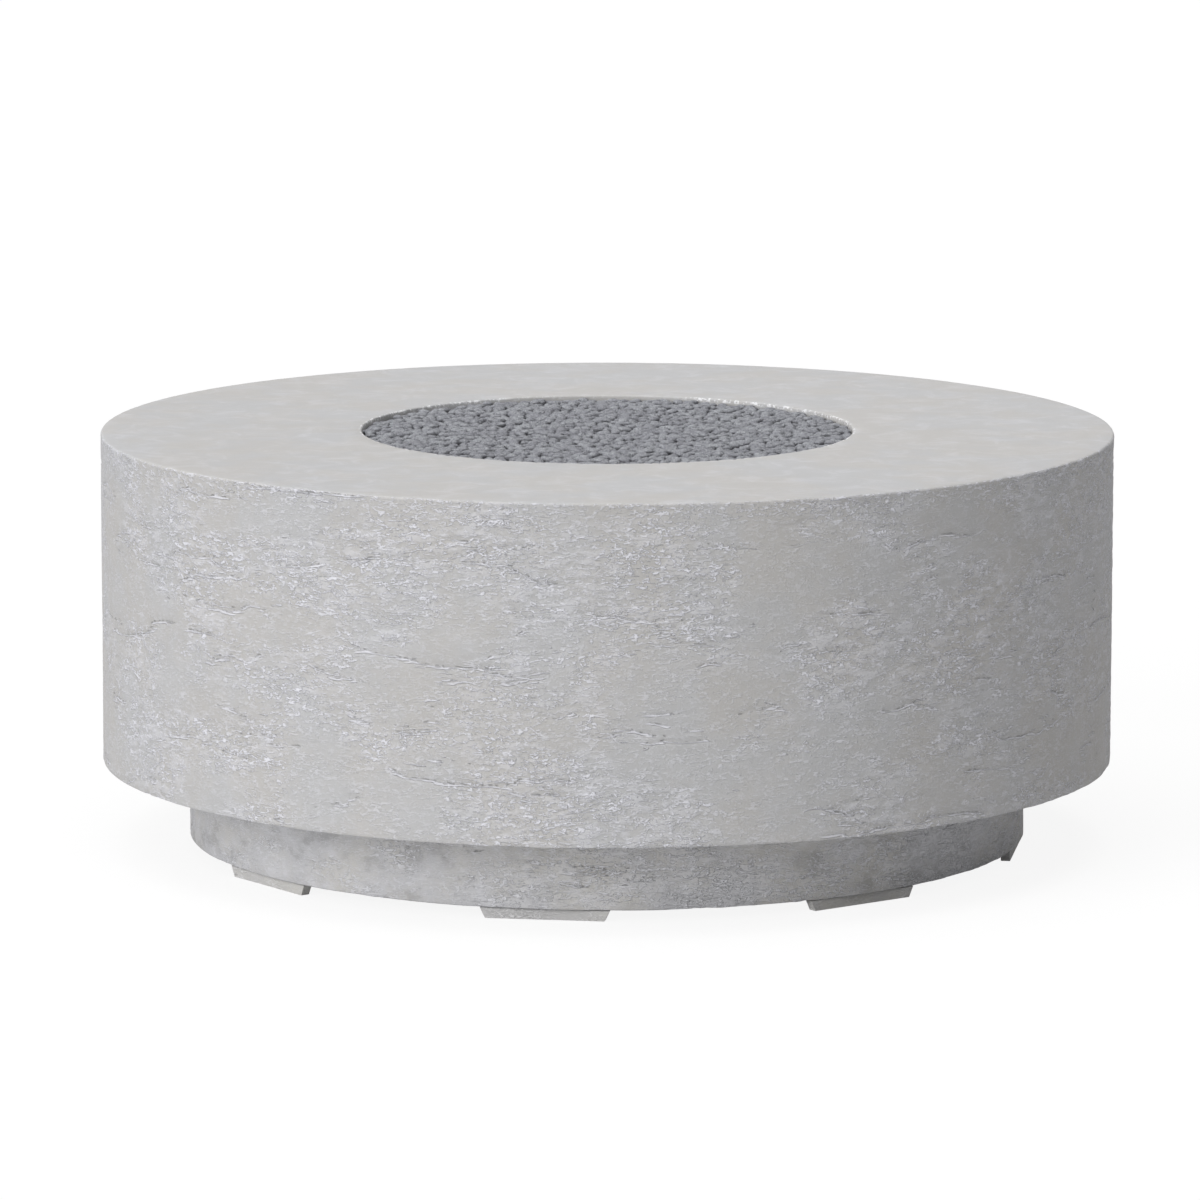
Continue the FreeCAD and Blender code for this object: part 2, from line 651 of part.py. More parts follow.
# Air mixer under the pan, with the gas orifice in its floor
def make_mixer():
    body = body_named("air_mixer")
    turn(body, "mixer_turned", [
        ("nipple_radius + thread_gap", "mixer_top"),
        ("mixer_radius", "mixer_top"),
        ("mixer_radius", "mixer_base"),
        ("flare_radius", "mixer_base"),
        ("flare_radius", "hose_top"),
        ("flare_bore_radius", "hose_top"),
        ("flare_bore_radius", "chamber_base - orifice_seat_depth"),
        ("orifice_radius + thread_gap", "chamber_base - orifice_seat_depth"),
        ("orifice_radius + thread_gap", "chamber_base"),
        ("mixer_chamber_radius", "chamber_base"),
        ("mixer_chamber_radius", "nipple_base"),
        ("nipple_radius + thread_gap", "nipple_base"),
    ])
    window = sketch_on(body, "window_outline", "XZ_Plane")
    draw_outline(window, [
        ("-window_width / 2", "chamber_base + window_lift"),
        ("window_width / 2", "chamber_base + window_lift"),
        ("window_width / 2", "chamber_base + window_lift + window_height"),
        ("-window_width / 2", "chamber_base + window_lift + window_height"),
    ])
    opening = sink_into(body, "air_window", window, "mixer_radius + mixer_radius")
    repeat_round(body, "air_windows", [opening], "window_count")
    orifice = body_named("gas_orifice")
    turn(orifice, "orifice_turned", [
        ("orifice_bore_radius", "chamber_base - orifice_seat_depth"),
        ("orifice_radius", "chamber_base - orifice_seat_depth"),
        ("orifice_radius", "chamber_base - orifice_seat_depth + orifice_length"),
        ("orifice_bore_radius", "chamber_base - orifice_seat_depth + orifice_length"),
    ])


# Gas line: hose with a nut at each end, from the valve to the air mixer
def make_hose_nut(label):
    """A hose nut, whose own origin is where the hose meets the flare thread."""
    body = body_named(label)
    outline = sketch_on(body, "nut_outline", "XY_Plane", "-nut_tail")
    draw_outline(outline, hexagon("nut_flats"))
    raise_from(body, "nut_blank", outline, "nut_tail + nut_cover")
    hose_way = sketch_on(body, "nut_hose_circle", "XY_Plane", "-nut_tail")
    draw_circle(hose_way, "hose_radius + nut_gap")
    sink_into(body, "nut_hose_way", hose_way, "nut_tail")
    thread = sketch_on(body, "nut_thread_circle", "XY_Plane", "-nut_tail")
    draw_circle(thread, "flare_radius + thread_gap")
    sink_into(body, "nut_thread", thread, "nut_tail + nut_cover")
    return body


def hose_path():
    """Centre line of the hose: level from the valve, one wide bend, straight up to the mixer."""
    low = value("valve_height")
    bend = value("hose_top - valve_height - hose_end_run")
    start = FreeCAD.Vector(0, value("hose_start"), low)
    bend_start = FreeCAD.Vector(0, bend, low)
    bend_middle = FreeCAD.Vector(0, bend - bend * math.sin(math.pi / 4),
                                 low + bend - bend * math.cos(math.pi / 4))
    bend_end = FreeCAD.Vector(0, 0, low + bend)
    end = FreeCAD.Vector(0, 0, value("hose_top"))
    return Part.Wire([
        Part.LineSegment(start, bend_start).toShape(),
        Part.Arc(bend_start, bend_middle, bend_end).toShape(),
        Part.LineSegment(bend_end, end).toShape(),
    ])


def tube_along(path, radius):
    """A solid round tube along a path."""
    start = path.Vertexes[0].Point
    circle = Part.Wire([Part.Circle(start, -ALONG_Y, radius).toShape()])
    return path.makePipeShell([circle], True, True)


def make_hose():
    path = hose_path()
    outside = tube_along(path, value("hose_radius"))
    shape = outside.cut(tube_along(path, value("hose_bore_radius")))
    section = math.pi * (value("hose_radius") ** 2 - value("hose_bore_radius") ** 2)
    print("hose length %.1f, volume / (section x length) %.5f, bend radius %.1f" % (
        path.Length, shape.Volume / (section * path.Length),
        value("hose_top - valve_height - hose_end_run")))
    hose = document.addObject("Part::Feature", "gas_hose")
    hose.Label = "gas_hose"
    hose.Shape = shape
    hose.Placement = FreeCAD.Placement()
    sub_parts.append(hose)
    at_burner = make_hose_nut("hose_nut_burner")
    place(at_burner, z="hose_top")
    at_valve = make_hose_nut("hose_nut_valve")
    place(at_valve, y="hose_start", z="valve_height", axis=ALONG_X, angle="-90")


# Valve fittings: hexagon, thread into the valve and flare thread outwards
def make_fitting(label):
    """A flare fitting, whose own origin is on the face of the valve."""
    body = body_named(label)
    turn(body, "fitting_turned", [
        ("flare_bore_radius", "-socket_depth"),
        ("socket_radius - thread_gap", "-socket_depth"),
        ("socket_radius - thread_gap", "fitting_collar / 2"),
        ("flare_radius", "fitting_collar / 2"),
        ("flare_radius", "fitting_collar + flare_length"),
        ("flare_bore_radius", "fitting_collar + flare_length"),
    ])
    outline = sketch_on(body, "fitting_hexagon", "XY_Plane")
    draw_outline(outline, hexagon("fitting_flats"))
    draw_circle(outline, "flare_bore_radius")
    raise_from(body, "fitting_flats_pad", outline, "fitting_collar")
    return body


def make_fittings():
    outlet = make_fitting("outlet_fitting")
    place(outlet, y="outlet_face", z="valve_height", axis=ALONG_X, angle="90")
    inlet = make_fitting("inlet_fitting")
    place(inlet, x="-boss_length", y="ball_axis", z="valve_height", axis=ALONG_Y, angle="-90")


# Key valve: quarter-turn ball valve, its own axis pointing out through the plinth wall
def to_valve(item):
    """Stand a piece on the valve axis, with its origin on the inner face of the wall."""
    place(item, y="valve_seat", z="valve_height", axis=ALONG_X, angle="-90")


def make_valve_body():
    body = body_named("valve_body")
    turn(body, "valve_turned", [
        ("socket_radius", "-valve_body_length"),
        ("valve_body_radius", "-valve_body_length"),
        ("valve_body_radius", "0"),
        ("neck_radius", "0"),
        ("neck_radius", "neck_length"),
        ("key_well_radius", "neck_length"),
        ("key_well_radius", "well_base"),
        ("stem_radius + stem_fit", "well_base"),
        ("stem_radius + stem_fit", "collar_top + ball_gap"),
        ("stem_collar_radius + ball_gap", "collar_top + ball_gap"),
        ("stem_collar_radius + ball_gap", "-ball_depth"),
        ("gas_way_radius", "-ball_depth"),
        ("gas_way_radius", "socket_depth - valve_body_length"),
        ("socket_radius", "socket_depth - valve_body_length"),
    ])
    boss = sketch_on(body, "boss_circle", "YZ_Plane", "-boss_length")
    draw_circle(boss, "boss_radius", "0", "-ball_depth")
    raise_from(body, "inlet_boss", boss, "boss_length - stem_collar_radius - ball_gap")
    socket = sketch_on(body, "socket_circle", "YZ_Plane", "-boss_length")
    draw_circle(socket, "socket_radius", "0", "-ball_depth")
    sink_into(body, "inlet_socket", socket, "socket_depth")
    way = sketch_on(body, "inlet_circle", "YZ_Plane", "-boss_length")
    draw_circle(way, "gas_way_radius", "0", "-ball_depth")
    sink_into(body, "inlet_way", way, "boss_length")
    chamber = sketch_on(body, "chamber_section", "XZ_Plane")
    draw_chamber(chamber, "chamber_radius")
    hollow = body.newObject("PartDesign::Groove", "ball_chamber")
    hollow.Profile = chamber
    hollow.ReferenceAxis = (chamber, ["V_Axis"])
    hollow.Angle = 360
    to_valve(body)


def draw_chamber(sketch, radius):
    """Half disc about the ball centre, to be turned into a ball."""
    low = FreeCAD.Vector(0, value("-ball_depth - " + radius), 0)
    side = FreeCAD.Vector(value(radius), value("-ball_depth"), 0)
    high = FreeCAD.Vector(0, value(radius + " - ball_depth"), 0)
    arc = sketch.addGeometry(Part.Arc(low, side, high))
    line = sketch.addGeometry(Part.LineSegment(high, low))
    sketch.addConstraint(Sketcher.Constraint("Coincident", arc, 2, line, 1))
    sketch.addConstraint(Sketcher.Constraint("Coincident", line, 2, arc, 1))
    number = sketch.addConstraint(Sketcher.Constraint("Radius", arc, value(radius)))
    bind(sketch, "Constraints[%d]" % number, radius)
    pin(sketch, arc, 3, "0", "-ball_depth")
    sketch.addConstraint(Sketcher.Constraint("PointOnObject", line, 1, -2))
    sketch.addConstraint(Sketcher.Constraint("PointOnObject", line, 2, -2))


def make_ball():
    body = body_named("valve_ball")
    section = sketch_on(body, "ball_section", "XZ_Plane")
    draw_chamber(section, "ball_radius")
    ball = body.newObject("PartDesign::Revolution", "ball")
    ball.Profile = section
    ball.ReferenceAxis = (section, ["V_Axis"])
    ball.Angle = 360
    slot = sketch_on(body, "tang_slot_outline", "XY_Plane", "ball_top - tang_depth - ball_gap")
    draw_outline(slot, box_outline("stem_collar_radius * 3", "tang_width + 2 * key_fit"))
    sink_into(body, "tang_slot", slot, "ball_radius")
    back_way = sketch_on(body, "back_way_circle", "XY_Plane", "-ball_depth - ball_radius")
    draw_circle(back_way, "gas_way_radius")
    sink_into(body, "back_way", back_way, "ball_radius")
    side_way = sketch_on(body, "side_way_circle", "XZ_Plane", "-ball_radius")
    draw_circle(side_way, "gas_way_radius", "0", "-ball_depth")
    sink_into(body, "side_way", side_way, "ball_radius")
    to_valve(body)


def make_stem():
    body = body_named("valve_stem")
    turn(body, "stem_turned", [
        ("0", "well_base"),
        ("stem_radius", "well_base"),
        ("stem_radius", "collar_top"),
        ("stem_collar_radius", "collar_top"),
        ("stem_collar_radius", "ball_top"),
        ("0", "ball_top"),
    ])
    square = sketch_on(body, "stem_square_outline", "XY_Plane", "well_base")
    draw_outline(square, box_outline("stem_square", "stem_square"))
    raise_from(body, "stem_square_end", square, "stem_square_length")
    tang = sketch_on(body, "tang_outline", "XY_Plane", "ball_top")
    draw_outline(tang, box_outline("stem_radius * 2 - 2 * ball_gap", "tang_width"))
    raise_from(body, "tang", tang, "tang_depth", back=True)
    to_valve(body)


def make_flange():
    body = body_named("valve_flange")
    turn(body, "flange_turned", [
        ("neck_radius + thread_gap", "wall_at_valve"),
        ("flange_radius", "wall_at_valve"),
        ("flange_radius", "wall_at_valve + flange_thickness"),
        ("key_well_radius", "wall_at_valve + flange_thickness"),
        ("key_well_radius", "neck_length + thread_gap"),
        ("neck_radius + thread_gap", "neck_length + thread_gap"),
    ])
    soften(body, "flange_edge", "flange_edge_round",
           [("flange_radius", "wall_at_valve + flange_thickness")])
    to_valve(body)


# Valve key: socket on the stem's square, rod and a cross bar
def make_key():
    key_base = "(well_base + key_seat_gap)"
    rod_base = key_base + " + key_socket_length"
    head_base = rod_base + " + key_rod_length"
    body = body_named("valve_key")
    turn(body, "key_turned", [
        ("0", key_base),
        ("key_socket_radius", key_base),
        ("key_socket_radius", rod_base),
        ("key_rod_radius", rod_base),
        ("key_rod_radius", head_base),
        ("key_head_radius", head_base),
        ("key_head_radius", head_base + " + key_head_length"),
        ("0", head_base + " + key_head_length"),
    ])
    soften(body, "key_edges", "key_edge_round",
           [("key_head_radius", head_base + " + key_head_length"),
            ("key_head_radius", head_base),
            ("key_socket_radius", rod_base)])
    square = sketch_on(body, "key_square_outline", "XY_Plane", key_base)
    draw_outline(square, box_outline("stem_square + 2 * key_fit", "stem_square + 2 * key_fit"))
    sink_into(body, "key_square", square, "stem_square_length + key_seat_gap")
    hole = sketch_on(body, "bar_hole_circle", "XZ_Plane", "-key_head_radius")
    draw_circle(hole, "key_bar_radius + thread_gap", "0", head_base + " + key_head_length / 2")
    sink_into(body, "bar_hole", hole, "key_head_radius * 2")
    to_valve(body)
    bar = body_named("key_cross_bar")
    round_bar = sketch_on(bar, "bar_circle", "XZ_Plane", "-key_bar_length / 2")
    draw_circle(round_bar, "key_bar_radius", "0", head_base + " + key_head_length / 2")
    raise_from(bar, "cross_bar", round_bar, "key_bar_length")
    to_valve(bar)


# Lava rock: a filled bed in the pan, and the stones of its top layer
def make_bed():
    body = body_named("lava_rock_bed")
    turn(body, "bed_turned", [
        ("0", "bed_top"),
        ("opening_radius - rock_gap", "bed_top"),
        ("opening_radius - rock_gap", "ledge_top + pan_sheet"),
        ("pan_radius - pan_sheet - rock_gap", "ledge_top + pan_sheet"),
        ("pan_radius - pan_sheet - rock_gap", "pan_floor + pan_bend"),
        ("pan_radius - pan_sheet - pan_bend", "pan_floor"),
        ("0", "pan_floor"),
    ])
    channel_height = "burner_rise + burner_tube_radius + rock_gap"
    for radius in ("outer_ring_radius", "inner_ring_radius"):
        channel = sketch_on(body, "ring_channel_circles", "XY_Plane", "pan_floor")
        draw_circle(channel, radius + " + burner_tube_radius + rock_gap")
        draw_circle(channel, radius + " - burner_tube_radius - rock_gap")
        sink_into(body, "ring_channel", channel, channel_height)
    width = "2 * (spoke_radius + rock_gap)"
    for number in range(round(value("spoke_count / 2"))):
        spoke = sketch_on(body, "spoke_channel_outline", "XY_Plane", "pan_floor")
        length = "2 * outer_ring_radius"
        sides = (length, width) if number % 2 == 0 else (width, length)
        draw_outline(spoke, box_outline(*sides))
        sink_into(body, "spoke_channel", spoke, "burner_rise + spoke_radius + rock_gap")
    hub = sketch_on(body, "hub_channel_circle", "XY_Plane", "pan_floor")
    draw_circle(hub, "hub_radius + rock_gap")
    sink_into(body, "hub_channel", hub, "hub_height + rock_gap")


# How the stones vary. Strays, claims and sides are shares of the step from stone to stone, heights are
# shares of a stone's height, and the turns are degrees to each side of a stone, as seen from the axis.
STONE_SEED = 11
STONE_STRAY = 0.2
STONE_CLAIM = 1.5
STONE_NEIGHBOURHOOD = 4
SHORTEST_SIDE = 0.25
SOLE_SHARE = 0.75
WAIST_HEIGHT = (0.45, 0.65)
STONE_HEIGHT = (0.8, 1.12)
PEAK_LEAN = 0.3
WALL_TURNS = range(-12, 13, 4)


def spiral_places(count, step, chance):
    """Places set out evenly over a disc along a spiral, each a little off its mark."""
    places = []
    for number in range(count):
        distance = step * math.sqrt(number + 0.5)
        angle = number * math.pi * (3 - math.sqrt(5))
        aside = FreeCAD.Vector(chance.uniform(-1, 1), chance.uniform(-1, 1), 0) * step * STONE_STRAY
        places.append(FreeCAD.Vector(distance * math.cos(angle), distance * math.sin(angle), 0) + aside)
    return places


def clipped(corners, normal, limit):
    """The part of a polygon that lies on the near side of a line."""
    kept = []
    for corner, following in zip(corners, corners[1:] + corners[:1]):
        here = corner.dot(normal) - limit
        there = following.dot(normal) - limit
        if here <= 0:
            kept.append(corner)
        if here * there < 0:
            kept.append(corner + (following - corner) * (here / (here - there)))
    return kept


def stone_outline(place, places, room, step):
    """Corners of one stone about its place: as much ground as its neighbours leave."""
    half_gap = value("rock_gap") / 2
    claim = step * STONE_CLAIM
    corners = [FreeCAD.Vector(claim * across, claim * up, 0)
               for across, up in ((1, 1), (-1, 1), (-1, -1), (1, -1))]
    for other in places:
        apart = other - place
        if 0 < apart.Length < step * STONE_NEIGHBOURHOOD:
            normal = apart / apart.Length
            corners = clipped(corners, normal, apart.Length / 2 - half_gap)
    outward = place / place.Length
    for turn_by in WALL_TURNS:
        normal = FreeCAD.Rotation(ALONG_Z, turn_by).multVec(outward)
        corners = clipped(corners, normal, room - place.dot(normal))
    return [place + corner for corner in without_short_sides(corners, step * SHORTEST_SIDE)]


def without_short_sides(corners, shortest):
    """Corners with those too close to the one before left out."""
    kept = []
    for corner in corners:
        if not kept or (corner - kept[-1]).Length > shortest:
            kept.append(corner)
    if (kept[0] - kept[-1]).Length < shortest:
        kept.pop()
    return kept


def stone(corners, floor, height, chance):
    """One stone: an uneven block with a flat sole, a waist and a blunt top."""
    middle = sum(corners, FreeCAD.Vector()) / len(corners)
    waist_height = height * chance.uniform(*WAIST_HEIGHT)
    sole = [floor + middle + (corner - middle) * SOLE_SHARE for corner in corners]
    waist = [floor + corner + ALONG_Z * waist_height for corner in corners]
    lean = (corners[0] - middle) * chance.uniform(-PEAK_LEAN, PEAK_LEAN)
    peak = floor + middle + lean + ALONG_Z * height
    faces = [Part.Face(Part.makePolygon(sole + sole[:1]))]
    for number in range(len(corners)):
        after = (number + 1) % len(corners)
        side = [sole[number], sole[after], waist[after], waist[number], sole[number]]
        faces.append(Part.Face(Part.makePolygon(side)))
        top = [waist[number], waist[after], peak, waist[number]]
        faces.append(Part.Face(Part.makePolygon(top)))
    return Part.Solid(Part.Shell(faces))


def make_stones():
    """Top layer of stones, each as large as the ground between its neighbours."""
    chance = random.Random(STONE_SEED)
    count = round(value("rock_count"))
    room = value("opening_radius - rock_gap")
    step = room / math.sqrt(count)
    places = spiral_places(count, step, chance)
    height = value("rock_height")
    floor = ALONG_Z * value("bed_top")
    stones = []
    for spot in places:
        corners = stone_outline(spot, places, room, step)
        stones.append(stone(corners, floor, height * chance.uniform(*STONE_HEIGHT), chance))
    item = document.addObject("Part::Feature", "lava_rock_stones")
    item.Label = "lava_rock_stones"
    item.Shape = Part.Compound(stones)
    item.Placement = FreeCAD.Placement()
    sub_parts.append(item)


make_shell()
make_plinth()
make_feet()
make_foot_screws()
make_bolting()
make_pan()
make_ring("burner_outer_ring", "outer_ring_radius", "outer_port_count")
make_ring("burner_inner_ring", "inner_ring_radius", "inner_port_count")
make_spokes()
make_hub()
make_mixer()
make_hose()
make_fittings()
make_valve_body()
make_ball()
make_stem()
make_flange()
make_key()
make_bed()
make_stones()
document.recompute()

# Every object has to be sound before anything is written.
for item in document.Objects:
    if "Invalid" in item.State or "Error" in item.State:
        raise RuntimeError("%s failed: %s" % (item.Label, item.State))
for item in sub_parts:
    if item.Shape.isNull() or not item.Shape.isValid():
        raise RuntimeError(item.Label + " has no valid shape")

os.makedirs("parts", exist_ok=True)
for item in sub_parts:
    item.Shape.exportStep("parts/%s.step" % item.Label)
    print("%-22s %4d solids, %.1f cm3" % (item.Label, len(item.Shape.Solids), item.Shape.Volume / 1000))
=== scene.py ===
# %% [markdown]
# # A round fire table in cast concrete
#
# The real table is one drum of thin concrete, cast upside down in a mould: its face is smooth where the
# mix lay against the mould, and torn into small dashes, flakes and cracks where air stayed on the
# upright wall. It stands on a plinth of the same mix, which is set back under it, and on eight low
# feet. A heap of grey lava rock fills the round opening in the top.
#
# The packed model gives every piece its place and size in metres. This script loads it, makes the
# casting, the rock and the hose again with their real surface, and gives every other piece its finish.

# %% Load the packed model
import math

import bmesh
import bpy
from mathutils import Matrix, Vector


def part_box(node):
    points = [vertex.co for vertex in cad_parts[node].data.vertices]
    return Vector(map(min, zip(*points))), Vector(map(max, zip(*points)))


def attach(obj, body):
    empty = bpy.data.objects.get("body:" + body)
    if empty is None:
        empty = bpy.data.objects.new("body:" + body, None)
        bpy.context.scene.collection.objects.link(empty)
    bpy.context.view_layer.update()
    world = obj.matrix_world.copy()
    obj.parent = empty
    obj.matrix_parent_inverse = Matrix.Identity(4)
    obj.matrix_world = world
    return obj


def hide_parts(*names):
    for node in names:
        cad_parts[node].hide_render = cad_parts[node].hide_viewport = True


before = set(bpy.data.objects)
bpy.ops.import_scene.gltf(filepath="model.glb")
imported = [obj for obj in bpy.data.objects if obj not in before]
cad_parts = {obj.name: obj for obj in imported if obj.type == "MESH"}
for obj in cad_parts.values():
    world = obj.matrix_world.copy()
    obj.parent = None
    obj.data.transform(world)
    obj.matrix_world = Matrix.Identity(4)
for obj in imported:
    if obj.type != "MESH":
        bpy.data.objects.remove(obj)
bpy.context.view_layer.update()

# %% [markdown]
# ## Sizes
#
# A piece that stands for a packed one has to be as large, so the sizes come from the corners of the
# packed pieces. Only what no corner tells, such as the wall inside the drum, is written as a number.

# %% Read the sizes of the table
shell_low, shell_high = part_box("table_shell")
plinth_low, plinth_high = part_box("base_plinth")
bed_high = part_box("lava_rock_bed")[1]
stones_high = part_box("lava_rock_stones")[1]

SHELL_RADIUS = shell_high[0]
TABLE_TOP = shell_high[2]
SHELL_BASE = shell_low[2]
PLINTH_RADIUS = plinth_high[0]
PLINTH_BASE = plinth_low[2]
BED_GAP = 0.0004
OPENING_RADIUS = bed_high[0] + BED_GAP

# The section of the shell: wall, top, rounded edges, ledge under the pan, and return at the bottom.
SHELL_WALL = 0.019
TOP_THICKNESS = 0.030
TOP_EDGE = 0.004
OPENING_EDGE = 0.0025
LEDGE_DROP = 0.030
LEDGE_THICKNESS = 0.020
LEDGE_WIDTH = 0.0233
LEDGE_ROOT = 0.020
RETURN_THICKNESS = 0.025
RETURN_RADIUS = 0.440

# The section of the plinth, and the small rounding at the foot of both castings.
PLINTH_WALL = 0.019
FLANGE_THICKNESS = 0.019
FLANGE_RADIUS = 0.445
ARRIS = 0.0015
print("shell radius", SHELL_RADIUS, "top at", TABLE_TOP, "opening", round(OPENING_RADIUS, 4))

# %% [markdown]
# ## Arithmetic on sockets
#
# Surface patterns and shapes are both sums and products of a few noises. Written with nodes alone,
# such a sum is a long list of calls. A small class that stands for one socket, and that adds a Math
# node for each operator, lets the rest of the lesson write `flakes * rough + cracks` instead.

# %% A socket that can be added, multiplied and compared
def join(tree, slot, value):
    """Sets a socket to a number, colour or vector, or links it to another socket."""
    if isinstance(value, Amount):
        tree.links.new(value.socket, slot)
    else:
        slot.default_value = value


class Amount:
    """One output of a node. Arithmetic on it adds Math nodes to the same tree."""

    def __init__(self, tree, socket):
        self.tree = tree
        self.socket = socket

    def math(self, operation, *values):
        node = self.tree.nodes.new("ShaderNodeMath")
        node.operation = operation
        for slot, value in zip(node.inputs, values):
            join(self.tree, slot, value)
        return Amount(self.tree, node.outputs[0])

    def __add__(self, other):
        return self.math("ADD", self, other)

    def __radd__(self, other):
        return self.math("ADD", other, self)

    def __sub__(self, other):
        return self.math("SUBTRACT", self, other)

    def __rsub__(self, other):
        return self.math("SUBTRACT", other, self)

    def __mul__(self, other):
        return self.math("MULTIPLY", self, other)

    def __truediv__(self, other):
        return self.math("DIVIDE", self, other)

    def at_least(self, other):
        return self.math("MAXIMUM", self, other)

    def at_most(self, other):
        return self.math("MINIMUM", self, other)

    def root(self):
        return self.math("SQRT", self)

    def sine(self):
        return self.math("SINE", self)

    def cosine(self):
        return self.math("COSINE", self)

    def whole(self):
        return self.math("FLOOR", self)

    def __abs__(self):
        return self.math("ABSOLUTE", self)


print("arithmetic on sockets:", [name for name in vars(Amount) if not name.startswith("_")])

# %% One way to add any node
def slot_of(sockets, key):
    """The socket in use with this number or name; with no key, the first one in use."""
    used = [socket for socket in sockets if socket.enabled]
    if isinstance(key, int):
        return used[key]
    return next(socket for socket in used if key in (None, socket.name))


class Tree:
    """A node tree, for a finish or for a shape."""

    def __init__(self, tree):
        self.tree = tree

    def node(self, kind, settings=None, inputs=None, output=None):
        """Adds a node of any kind, sets it up and fills its sockets, and gives one of its outputs."""
        made = self.tree.nodes.new(kind)
        for name, value in (settings or {}).items():
            setattr(made, name, value)
        for key, value in (inputs or {}).items():
            join(self.tree, slot_of(made.inputs, key), value)
        return Amount(self.tree, slot_of(made.outputs, output)) if made.outputs else None

    def stretched(self, place, factors):
        """The place times a factor for each direction. Above 1, a pattern gets shorter that way."""
        return self.node("ShaderNodeVectorMath", {"operation": "MULTIPLY"}, {0: place, 1: factors})

    def moved(self, place, offset):
        return self.node("ShaderNodeVectorMath", {"operation": "ADD"}, {0: place, 1: offset})

    def scaled(self, vector, factor):
        return self.node("ShaderNodeVectorMath", {"operation": "SCALE"}, {0: vector, "Scale": factor})

    def noise(self, place, scale, detail=2.0, roughness=0.5, distortion=0.0):
        """A cloudy pattern, mostly 0.3 to 0.7. The scale is how many clouds a metre holds."""
        return self.node("ShaderNodeTexNoise", None, {
            "Vector": place, "Scale": scale, "Detail": detail, "Roughness": roughness,
            "Distortion": distortion})

    def ease(self, value, low, high):
        """0 below the low value, 1 above the high one, and a soft step between them."""
        return self.node("ShaderNodeMapRange", {"interpolation_type": "SMOOTHSTEP"}, {
            "Value": value, "From Min": low, "From Max": high})

    def blend(self, share, first, second):
        """A colour between two colours."""
        return self.node("ShaderNodeMix", {"data_type": "RGBA"}, {
            "Factor": share, "A": first, "B": second})

    def length_of(self, vector):
        return self.node("ShaderNodeVectorMath", {"operation": "LENGTH"}, {0: vector}, "Value")

    def height_of(self, place):
        return self.node("ShaderNodeSeparateXYZ", None, {0: place}, "Z")

    def from_axis(self, place):
        """How far a place lies from the axis of the table."""
        return self.length_of(self.stretched(place, (1.0, 1.0, 0.0)))

    def bump(self, height):
        """The normal for a fine relief of this height, in metres."""
        return self.node("ShaderNodeBump", None, {
            "Strength": 1.0, "Distance": 1.0, "Height": height})

    def marked(self, geometry, name, value):
        """The geometry with a number kept on each point, which the finish reads by its name."""
        return self.node(
            "GeometryNodeStoreNamedAttribute", {"data_type": "FLOAT", "domain": "POINT"},
            {"Geometry": geometry, "Name": name, "Value": value})


print("tree helpers:", [name for name in vars(Tree) if not name.startswith("_")])

# %% [markdown]
# ## The torn skin of the casting
#
# On the real wall the marks are wide and short, because the mould stood upright and the air crept
# sideways. They come in patches, with smooth concrete between them. A noise whose height is squeezed
# gives wide and short marks at any place round the drum, with no seam. Both the mesh and the finish
# take the marks from the same function, so that a crack that is cut into the mesh carries its painted
# shade, and the lip below it a painted highlight, in the same places. The edge of the fire opening
# broke away in crumbs when the mould came off, in runs with whole edge between them, and both take
# these from one function too.

# %% Marks of the casting
def band(tree, field, level, width):
    """1 along the line where a noise passes a level, falling to 0 at this distance from it."""
    return 1.0 - tree.ease(abs(field - level), width * 0.3, width)


# How far below a crack its lip lies, and where in the noise the crumbled runs are taken.
LIP_DROP = 0.002
CRUMBLE_SEED = 3.0


def torn_marks(tree, place):
    """Rough patches, hollows, the cracks in them, their lower lips and larger flakes, 0 to 1."""
    patches = tree.noise(tree.stretched(place, (1.0, 1.0, 1.3)), 6.0, 3.0, 0.6)
    rough = tree.ease(patches, 0.43, 0.56)
    lower = tree.moved(place, (0.0, 0.0, LIP_DROP))
    wander, under = (tree.noise(tree.stretched(spot, (1.0, 1.0, 5.0)), 3.4, 5.0, 0.55)
                     for spot in (place, lower))
    broken = tree.ease(tree.noise(tree.stretched(place, (1.0, 1.0, 3.0)), 6.5, 2.0, 0.6), 0.50, 0.54)
    broken = broken * tree.ease(under - wander, 0.0, 0.006)
    hollow = band(tree, wander, 0.5, 0.05) * broken
    crack_with_painted_shade = band(tree, wander, 0.5, 0.008) * broken
    lip_with_painted_highlight = band(tree, under, 0.5, 0.014) * broken
    lumps = tree.noise(tree.stretched(place, (1.0, 1.0, 2.4)), 38.0, 3.0, 0.6)
    flakes = tree.ease(lumps, 0.48, 0.58) * rough
    return rough, hollow, crack_with_painted_shade, lip_with_painted_highlight, flakes


def crumbled(tree, place, across, height):
    """Where the edge of the fire opening crumbled, 0 to 1: it comes in runs, whole between them."""
    near = tree.ease(across, OPENING_RADIUS + 0.0045, OPENING_RADIUS + 0.0025)
    near = near * tree.ease(height, TABLE_TOP - 0.006, TABLE_TOP - 0.003)
    shifted = tree.moved(place, (0.0, 0.0, CRUMBLE_SEED))
    runs = tree.ease(tree.noise(shifted, 7.0, 2.0), 0.41, 0.52)
    return near * runs * tree.ease(tree.noise(place, 190.0, 2.0, 0.6), 0.48, 0.60)


print("marks of the wall: patches, hollows, cracks, lips, flakes; of the opening's edge: crumbs")
